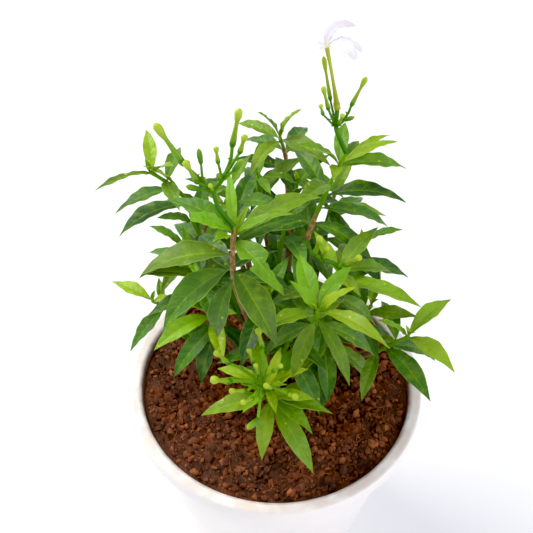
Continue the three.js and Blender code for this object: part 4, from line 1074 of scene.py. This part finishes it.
def leaf_rows(name):
    """A shoot's leaf rows: its own, or crossed pairs that are longer and lower down the stem."""
    shoot = SHOOTS[name]
    if "leaves" in shoot:
        return shoot["leaves"]
    pairs, heading, length = shoot["pairs"], shoot["heading"], shoot["length"]
    return [(TOP_PAIR - PAIRS_SPAN * pair / pairs, heading + 90 * pair + opposite,
             PAIR_RISE - PAIR_FALL * pair, length * PAIR_LENGTHS[pair])
            for pair in range(pairs) for opposite in (0, 180)]


def leaf_pose(name, number, row):
    """A leaf's pose before it gave way to its neighbours."""
    place, heading, rise, length, breadth = (*row, 1)[:5]
    key = 100 * SHOOT_NAMES.index(name) + 5 * number
    free = 0 if "leaves" in SHOOTS[name] else 1
    marks = EATEN.get((name, number), {})
    return dict(
        base=bezier(*shoot_corners(name), [place])[0],
        heading=heading + spread(key, HEADING_SPREAD * free),
        rise=rise + spread(key + 1, RISE_SPREAD * free),
        length=length,
        droop=LEAF_DROOP + (length - LEAF_LEAST_LENGTH) + spread(key + 2, DROOP_SPREAD),
        sweep=spread(key + 3, SWEEP_SPREAD),
        roll=spread(key + 4, ROLL_SPREAD),
        phase=2 * pi * draw(key + 2),
        fold=LEAF_FOLD,
        wave=LEAF_WAVE,
        half_width=LEAF_HALF_WIDTH_SHARE * breadth * length,
        kept=marks.get("kept", 1),
        bites=marks.get("bites", []),
        place=place,
        key=key,
    )


def grown_pose(pose, corners):
    """The pose that the solid's leaf took: the first whose pointed end is among the solid's
    corners. None if the leaf found no room."""
    for cut in CUTS:
        for turn, lift in TURNS:
            tried = dict(pose, heading=pose["heading"] + turn, rise=pose["rise"] + lift,
                         length=pose["length"] * cut, half_width=pose["half_width"] * cut)
            end = blade_line(tried, np.array([1.0]))[0]
            top = blade_axes(tried, np.array([1.0]))[2][0] * BLADE_HALF_THICKNESS
            gaps = [np.linalg.norm(corners - (end + face * top), axis=1).min() for face in (1, -1)]
            if max(gaps) < MATCH:
                return tried
    return None


def leaf_outline(pose, s, edge):
    """Half a leaf's width: a short stalk, then a lance that is widest before its middle and is
    drawn out to its point. An eaten side keeps a share of its width between soft ends."""
    x = np.clip((s - 0.06) / 0.94, 0, 1) * pose["kept"]
    blade = np.clip(np.sin(pi * x ** 0.86), 0, None) ** 1.1
    for side, start, end, left in pose["bites"]:
        if side == edge:
            inside = np.clip((s - start) / 0.03 + 1, 0, 1) * np.clip((end - s) / 0.03 + 1, 0, 1)
            scallop = left + 0.12 * np.sin(55 * s) * (1 - left)
            blade = blade * (1 - (1 - scallop) * inside)
    return 0.5 * (1 - s) ** 2 + pose["half_width"] * blade


# Places across a leaf, closer together beside its rib
LEAF_ACROSS = np.sign(np.linspace(-1, 1, 11)) * np.abs(np.linspace(-1, 1, 11)) ** 1.5
LEAF_ALONG = np.linspace(0, 1, 37)

# Half the thickness of each kind of blade, the depth of its rib, and the height of the ripples at
# its edge and of the tissue between its side veins
LEAF_SHEET = dict(thickness=0.16, rib=0.3, ripple=0.38, quilt=0.45)
BRACT_SHEET = dict(thickness=0.12, rib=0.1, ripple=0, quilt=0)
PETAL_SHEET = dict(thickness=0.14, rib=0.06, ripple=0.35, quilt=0)


def blade_rings(pose, outline, s, v, thickness, rib, ripple, quilt):
    """A thin closed blade on a grid of shares along it, s, and across it, v from -1 to 1. Across,
    a point is v times the half width out, and lies above the middle line by the fold, a low arch
    between rib and edge, the long wave, ripples at the edge and a swelling between side veins.
    Both faces lie the thickness off that sheet, and the lower one deeper along the rib."""
    centres = blade_line(pose, s)
    _, side, top = blade_axes(pose, s)
    s, v = s[:, None], v[None, :]
    width = np.where(v > 0, outline(pose, s, 1), outline(pose, s, -1))
    reach, fold = np.abs(v), radians(pose["fold"])
    lift = width * sin(fold) * reach ** 1.25 + 0.05 * width * np.sin(pi * reach)
    belly = np.sin(pi * s)
    lift = lift + v * reach * pose["wave"] * np.sin(3 * pi * s + pose["phase"]) * belly
    lift = lift + ripple * reach ** 3 * np.sin(10 * pi * s + 3 * pose["phase"] + 1.3 * v) * belly
    run = s - VEIN_LEAN * reach ** VEIN_BEND
    veins = np.cos(2 * pi * SIDE_VEINS * run) * np.sqrt(reach * (1 - reach))
    lift = lift + quilt * veins * np.minimum(width / 5, 1)
    near_rib = np.exp(-((v * width / 0.5) ** 2))
    upper = lift + thickness - 0.3 * rib * near_rib * belly
    lower = lift - thickness - rib * (1 - 0.8 * s) * near_rib
    across = v * width * cos(fold)

    def face(height):
        return (centres[:, None] + across[..., None] * side[:, None]
                + height[..., None] * top[:, None])

    return np.concatenate([face(upper), face(lower)[:, ::-1]], 1)


def lay_blade(piece, rings, s, v, age, tone, finish=0):
    """Adds a blade to a piece, with its UV across and along and its lower face marked."""
    across = np.concatenate([v, v[::-1]]) * 0.5 + 0.5
    grid = np.stack(np.broadcast_arrays(across[None], s[:, None]), -1)
    under = np.tile(np.repeat([0.0, 1.0], len(v)), len(s))
    piece.add(*skin(rings, grid), age, tone, np.concatenate([under, [0.5, 0.5]]), finish)


# How much fresher than usual a shoot's leaves are, or below 0 how much older. The inner, middle and
# crown shoots are made older so that their leaves are a deeper green, painted shade deep in the
# shrub.
FRESH_AND_SHADE = {
    "low_front": 0.5, "star": 0.2, "right": 0.15, "flowering": 0.05, "far_right": 0.2,
    "inner_high": -0.6, "inner_front": -0.6, "inner_low": -0.6, "mid_left": -0.4,
    "mid_high": -0.3, "mid_right": -0.4, "crown": -0.3,
}

# Leaves whose age is told by their colour, by shoot and row. The older ages of front_left 1 and
# inner_front 0 also give them the deeper green of the shade they lie in, painted shade.
AGES = {
    "front_left 0": 0.72, "front_left 9": 0.85, "front_left 10": 0.78, "front_left 11": 0.85,
    "front_left 1": 0.8, "front_left 2": 0.0, "front_left 3": 0.0, "front_left 4": 0.15,
    "front_left 5": 0.5, "front_left 6": 0.1, "front_left 8": 0.55, "front_left 14": 0.0,
    "back_left 3": 0.0, "back_left 5": 0.1, "star 0": 0.05, "star 1": 0.1, "star 2": 0.35,
    "star 4": 0.4, "flowering 0": 0.6, "flowering 3": 0.2, "flowering 4": 0.3,
    "inner_front 0": 0.9, "right 0": 0.35, "far_right 0": 0.25, "far_right 1": 0.2,
    "low_left 1": 0.1, "low_left 2": 0.05, "far_left 0": 0.1,
}


# A leaf's age: at the tip, what is added for one far from it and for a long one, and its spread
AGE_AT_TIP = 0.25
AGE_BY_PLACE = 0.45
AGE_BY_LENGTH = 0.4
AGE_SPREAD = 0.12


def leaf_age(name, number, pose):
    """From 0, just unfolded at the tip, to 1, mature. It grows with the way from the tip and with
    the leaf's length, and is raised on the shoots deep in the shrub as painted shade."""
    if f"{name} {number}" in AGES:
        return AGES[f"{name} {number}"]
    from_tip = np.clip((1.0 - pose["place"]) / 0.45, 0, 1)
    grown = np.clip((pose["length"] - 24) / 24, 0, 1)
    age = AGE_AT_TIP + AGE_BY_PLACE * from_tip + AGE_BY_LENGTH * grown - FRESH_AND_SHADE.get(name, 0)
    return np.clip(age + spread(pose["key"] + 9, AGE_SPREAD), 0, 1)


# How far along a shoot its brown end reaches, where that isn't half way
WOODY = {"front_left": 0.95, "back": 0.8, "flowering": 0.6}
WOODY_USUAL = 0.5

# How deep a green stem runs into the wood that bears it, the swelling at a leaf as a share of its
# radius, and the tiny leaves at its tip
IN_WOOD = 1.5
STEM_POINTS = 41
STEM_AROUND = 12
LEAF_JOINT = 0.22
TIP_LEAF_RISE = 62
TIP_LEAF_LENGTH = 8.5


def node_corners(node):
    """A CAD node's corners, in millimetres."""
    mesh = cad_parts[node].data
    flat = np.zeros(3 * len(mesh.vertices), np.float32)
    mesh.vertices.foreach_get("co", flat)
    return flat.reshape(-1, 3) / MM


def make_shoot(name):
    """A green stem that grows out of the wood, a little swollen where its leaves leave it, with its
    leaves and, where no flowers follow, a pair of tiny folded leaves at its tip."""
    piece = Piece()
    corners = node_corners(f"shoot_{name}")
    share = np.linspace(0, 1, STEM_POINTS)
    path = bezier(*shoot_corners(name), share)
    path = np.concatenate([[path[0] - IN_WOOD * foot_direction(name)], path])
    share = np.concatenate([[0], share])[:, None]
    swell = np.zeros((len(path), STEM_AROUND))
    for number, row in enumerate(leaf_rows(name)):
        pose = grown_pose(leaf_pose(name, number, row), corners)
        if pose is None:
            continue
        swell = np.maximum(swell, LEAF_JOINT * np.exp(-((share - pose["place"]) / 0.025) ** 2))
        rings = blade_rings(pose, leaf_outline, LEAF_ALONG, LEAF_ACROSS, **LEAF_SHEET)
        age = leaf_age(name, number, pose)
        lay_blade(piece, rings, LEAF_ALONG, LEAF_ACROSS, age, draw(pose["key"] + 7))
    radii = np.interp(share[:, 0], [0, 1], SHOOT_RADII)
    woody = WOODY.get(name, WOODY_USUAL)
    lay_tube(piece, path, radii, STEM_AROUND, (1.0, 0.35), 0.5, swell, 1,
             (1.6 * woody, 2 * woody - 1.4))
    if name not in CYMES:
        for number, side in enumerate((0, 180)):
            turn = leaf_rows(name)[0][1] + 90 + side
            lay_bract(piece, path[-1], turn, TIP_LEAF_RISE, TIP_LEAF_LENGTH, number, 0.0, 0)
    piece.make(f"leafy_{name}", [LEAF, GREEN_STEM], f"shoot_{name}")


# Flower clusters

# A bud's shape: share of its length, and radius as a share of the head's. A grown bud has a stout
# calyx, a tube that narrows, and a club-shaped head with a blunt point. A young one, whose length
# is less than the slenderness times its radius, is egg-shaped. A long stalk bears a pair of scales.
GROWN_BUD = [(0, 0.6), (0.1, 0.8), (0.34, 0.66), (0.62, 0.55), (0.82, 0.96), (0.94, 0.8), (1, 0.1)]
YOUNG_BUD = [(0, 0.5), (0.14, 0.74), (0.5, 1), (0.85, 0.68), (1, 0.1)]
YOUNG_BUD_SLENDERNESS = 5.6
BUD_AROUND = 15
BUD_SHARES = np.linspace(0, 1, 25)
BUD_RIDGES = 5
BUD_RIDGE = 0.07
BUD_TWIST = 3.5
HEAD_PLACE = 0.86
STALK_SHARES = (0.52, 0.44)
LONG_STALK = 8
SCALE_RISE = 55
SCALE_LENGTH = 2.6

# The rings of a calyx: radius, height and the height that its lobes add
CALYX = ((0.55, -0.5, 0), (0.8, -0.15, 0), (0.98, 0.5, 0.15), (1.0, 1.1, 0.8), (0.92, 1.25, 1.0),
         (0.8, 1.0, 0.7), (0.5, 0.4, 0))
CALYX_WIDTH = 0.85
CALYX_HEIGHT = 0.8
CALYX_AROUND = 20


def lay_bud(piece, stalk, head, size, key, ages):
    """A stalk and its bud, each a tube along its path. The head's folded petals show as five
    ridges that wind round it, a calyx of five blunt lobes clasps its foot, and a pair of scales
    sits on a long stalk."""
    stalk, head = np.array(stalk, float), np.array(head, float)
    young = np.linalg.norm(head - stalk[-1]) < YOUNG_BUD_SLENDERNESS * size
    stem = smooth_path(stalk, 4 * (len(stalk) - 1))
    thick = size * np.linspace(*STALK_SHARES, len(stem))
    lay_tube(piece, stem, thick, 9, ages, draw(key), finish=1)
    share = BUD_SHARES[:, None]
    bud = stalk[-1] + (head - stalk[-1]) * share
    radii = size * smooth_values(np.array(YOUNG_BUD if young else GROWN_BUD), BUD_SHARES)
    in_head = np.exp(-((share - HEAD_PLACE) / 0.1) ** 2)
    winding = BUD_RIDGE * np.cos(BUD_RIDGES * (turns(BUD_AROUND) - BUD_TWIST * share)) * in_head
    bud_ages = (1.0, 0.6) if young else (0.8, 0.0)
    lay_tube(piece, bud, radii, BUD_AROUND, bud_ages, draw(key + 1), winding)
    lay_calyx(piece, stalk[-1], unit(head - stalk[-1]), size, key)
    if np.linalg.norm(stalk[-1] - stalk[0]) > LONG_STALK:
        middle = stem[len(stem) // 2]
        for side in (0, 180):
            turn = 360 * draw(key + 2) + side
            lay_bract(piece, middle, turn, SCALE_RISE, SCALE_LENGTH, key, 0.6)


def lay_calyx(piece, place, way, size, key):
    """A cup that rises from the stalk: its wall follows the bud just outside it, and its edge has
    five lobes, as the ring's height is a share more at five turns round it."""
    turn = turns(CALYX_AROUND)[:, None] + draw(key)
    u, v = square_to(way[None])
    out = size * CALYX_WIDTH * (np.cos(turn) * u + np.sin(turn) * v)
    up = size * CALYX_HEIGHT * way
    lobes = 0.5 + 0.5 * np.cos(5 * turn)
    rings = np.stack([place + radius * out + (height + more * lobes) * up
                      for radius, height, more in CALYX])
    sheet = skin(rings, along_uv(len(rings), CALYX_AROUND))
    piece.add(*sheet, age=0.85, tone=draw(key + 2), finish=1)


def lay_bract(piece, place, heading, rise, length, key, age, finish=2):
    """A narrow scale of a leaf, a few millimetres long."""
    pose = dict(base=np.array(place, float), heading=heading, rise=rise, length=length, droop=30,
                sweep=0, roll=0, phase=key, fold=25, wave=0.1, half_width=0.18 * length, kept=1,
                bites=[])
    s, v = np.linspace(0, 1, 9), np.linspace(-1, 1, 5)
    lay_blade(piece, blade_rings(pose, leaf_outline, s, v, **BRACT_SHEET), s, v, age, draw(key),
              finish)


# How deep a cluster's main stalk starts in the tip of its shoot, and the radii of stalks
IN_SHOOT = 0.8
MAIN_STALK_RADII = (1.35, 1.2)
FORK_RADII = (1.15, 1.0)
BRACT_RISE = 35
BRACT_LENGTH = 4.2

# How deep a green a cluster's bud stalks have, at their foot and below the bud
STALK_AGES = {"front_left": (0.9, 0.5), "flowering": (1.0, 0.8), "right": (0.5, 0.2),
              "low_front": (0.6, 0.25)}


def make_cyme(name):
    """A forked cluster: the main stalk from the shoot's tip, its forks, a bract or two at each, and
    the buds."""
    cyme = CYMES[name]
    piece = Piece()
    root = np.array(SHOOTS[name]["tip"]) - IN_SHOOT * tip_direction(name)
    tube_way = unit(np.array(FLOWER_NECK, float) - FLOWER_FOOT)
    seat = np.array(FLOWER_FOOT) - SEAT_GAP * tube_way
    stalk = [root, *[seat if p == "flower" else np.array(p, float) for p in cyme["stalk"]]]
    path = smooth_path(stalk, 8 * (len(stalk) - 1))
    radii = np.linspace(*MAIN_STALK_RADII, len(path))
    channel = np.tile(0.08 * np.cos(2 * turns(STEM_AROUND)), (len(path), 1))
    lay_tube(piece, path, radii, STEM_AROUND, (1.0, 0.85), 0.5, channel, 1)
    for fork in cyme["forks"]:
        path = smooth_path(fork, 8)
        lay_tube(piece, path, np.linspace(*FORK_RADII, len(path)), 10, (0.9, 0.85), finish=1)
    for number, (points, head, size) in enumerate(cyme["buds"]):
        key = 31 * SHOOT_NAMES.index(name) + 3 * number
        lay_bud(piece, points, head, size, key, STALK_AGES[name])
        away = np.degrees(np.arctan2(head[1] - points[0][1], head[0] - points[0][0]))
        lay_bract(piece, points[0], away + 25, BRACT_RISE, BRACT_LENGTH, key, 0.6)
    piece.make(f"cluster_{name}", [BUD, GREEN_STEM, LEAF], f"buds_{name}")


# Flower


def petal_outline(pose, s, edge):
    """Half a petal's width: narrow at the flower's mouth, widest past its middle and blunt, with
    one side a little fuller than the other."""
    fuller = 1 + 0.08 * edge * np.sin(pi * s)
    blade = np.clip(np.sin(pi * s ** 1.8), 0, None) ** 0.6
    return 0.9 * (1 - s) + pose["half_width"] * fuller * blade


# The throat inside the mouth: how far it lies beyond the mouth, and its radii
THROAT_PLACES = (0.35, 0.1, -0.9, -1.8)
THROAT_RADII = (1.1, 0.85, 0.6, 0.35)
TUBE_AROUND = 20
TUBE_RIB = 0.05
FLOWER_CALYX = 2.3
FLOWER_KEY = 5


def make_flower():
    """A slender five-ribbed tube whose mouth turns in to a small throat, five petals and a
    calyx."""
    piece = Piece()
    share = np.linspace(0, 1, 31)
    path = bezier(FLOWER_FOOT, FLOWER_NECK, FLOWER_MOUTH, share)
    profile = np.stack([np.linspace(0, 1, len(TUBE_RADII)), TUBE_RADII], -1)
    radii = [*smooth_values(profile, share), *THROAT_RADII]
    throat = path[-1] + np.array(THROAT_PLACES)[:, None] * unit(path[-1] - path[-2])
    ribs = np.tile(TUBE_RIB * np.cos(5 * turns(TUBE_AROUND)), (len(radii), 1))
    lay_tube(piece, np.concatenate([path, throat]), radii, TUBE_AROUND, swell=ribs, finish=1)
    s, v = np.linspace(0, 1, 33), np.linspace(-1, 1, 13)
    for number, (heading, rise, length, droop, sweep) in enumerate(PETALS):
        pose = dict(base=np.array(FLOWER_MOUTH, float), rise=rise, length=length, heading=heading,
                    droop=droop, sweep=sweep, roll=-8, phase=number, fold=4, wave=0.5,
                    half_width=PETAL_HALF_WIDTH, kept=1, bites=[])
        rings = blade_rings(pose, petal_outline, s, v, **PETAL_SHEET)
        # The first petal takes tone 1, its painted shade.
        lay_blade(piece, rings, s, v, 0.0, 0.0 if number else 1.0)
    way = unit(path[1] - path[0])
    lay_calyx(piece, FLOWER_FOOT + 0.2 * way, way, FLOWER_CALYX, FLOWER_KEY)
    piece.make("open_flower", [PETAL, TUBE], "flower")


# Assembly

make_pot()
make_soil()
make_wood()
for shoot_name in SHOOT_NAMES:
    make_shoot(shoot_name)
for cyme_name in CYMES:
    make_cyme(cyme_name)
make_flower()

# Floor and light

FLOOR_REACH = 4.0
FLOOR_COLOUR = (0.92, 0.925, 0.94, 1)
SKY_COLOUR = (0.9, 0.91, 1.0, 1)
SKY_STRENGTH = 0.64
EXPOSURE = -0.05
BLACK_LEVEL = 0.012

# Soft square lights: name, place, the point it faces, size, power and colour
LIGHTS = [
    ("window", (-1.1, 0.7, 1.5), (0, 0, 0.25), 1.2, 31, (1, 0.98, 0.93)),
    ("front fill", (0.6, -1.1, 1.4), (0, 0, 0.2), 1.5, 7, (1, 1, 1)),
    ("side fill", (1.7, -0.5, 0.9), (0, 0, 0.15), 1.0, 9, (0.97, 0.95, 1)),
]


def make_floor():
    """A plain pale floor, wide enough to fill the view."""
    mesh = bpy.data.meshes.new("floor")
    ends = (-FLOOR_REACH, FLOOR_REACH)
    mesh.from_pydata([(x, y, 0) for y in ends for x in ends], [], [(0, 1, 3, 2)])
    finish = Finish("pale floor", roughness=0.7, Base_Color=FLOOR_COLOUR)
    mesh.materials.append(finish.material)
    floor = bpy.data.objects.new("floor", mesh)
    bpy.context.scene.collection.objects.link(floor)


def make_light(name, place, aim, size, power, colour):
    """A square soft light that faces a point."""
    light = bpy.data.lights.new(name, "AREA")
    light.size = size
    light.energy = power
    light.color = colour
    lamp = bpy.data.objects.new(name, light)
    lamp.location = place
    lamp.rotation_euler = (Vector(aim) - Vector(place)).to_track_quat("-Z", "Y").to_euler()
    bpy.context.scene.collection.objects.link(lamp)


def make_surroundings():
    """An even pale sky."""
    world = bpy.data.worlds.new("studio")
    world.use_nodes = True
    sky = world.node_tree.nodes["Background"]
    sky.inputs["Color"].default_value = SKY_COLOUR
    sky.inputs["Strength"].default_value = SKY_STRENGTH
    bpy.context.scene.world = world


def set_response():
    """The camera's response to light: plain, with a deep black point."""
    view = bpy.context.scene.view_settings
    view.view_transform = "Standard"
    view.exposure = EXPOSURE
    view.use_curve_mapping = True
    view.curve_mapping.extend = "EXTRAPOLATED"
    view.curve_mapping.black_level = [BLACK_LEVEL] * 3


make_floor()
make_surroundings()
for light_row in LIGHTS:
    make_light(*light_row)
set_response()
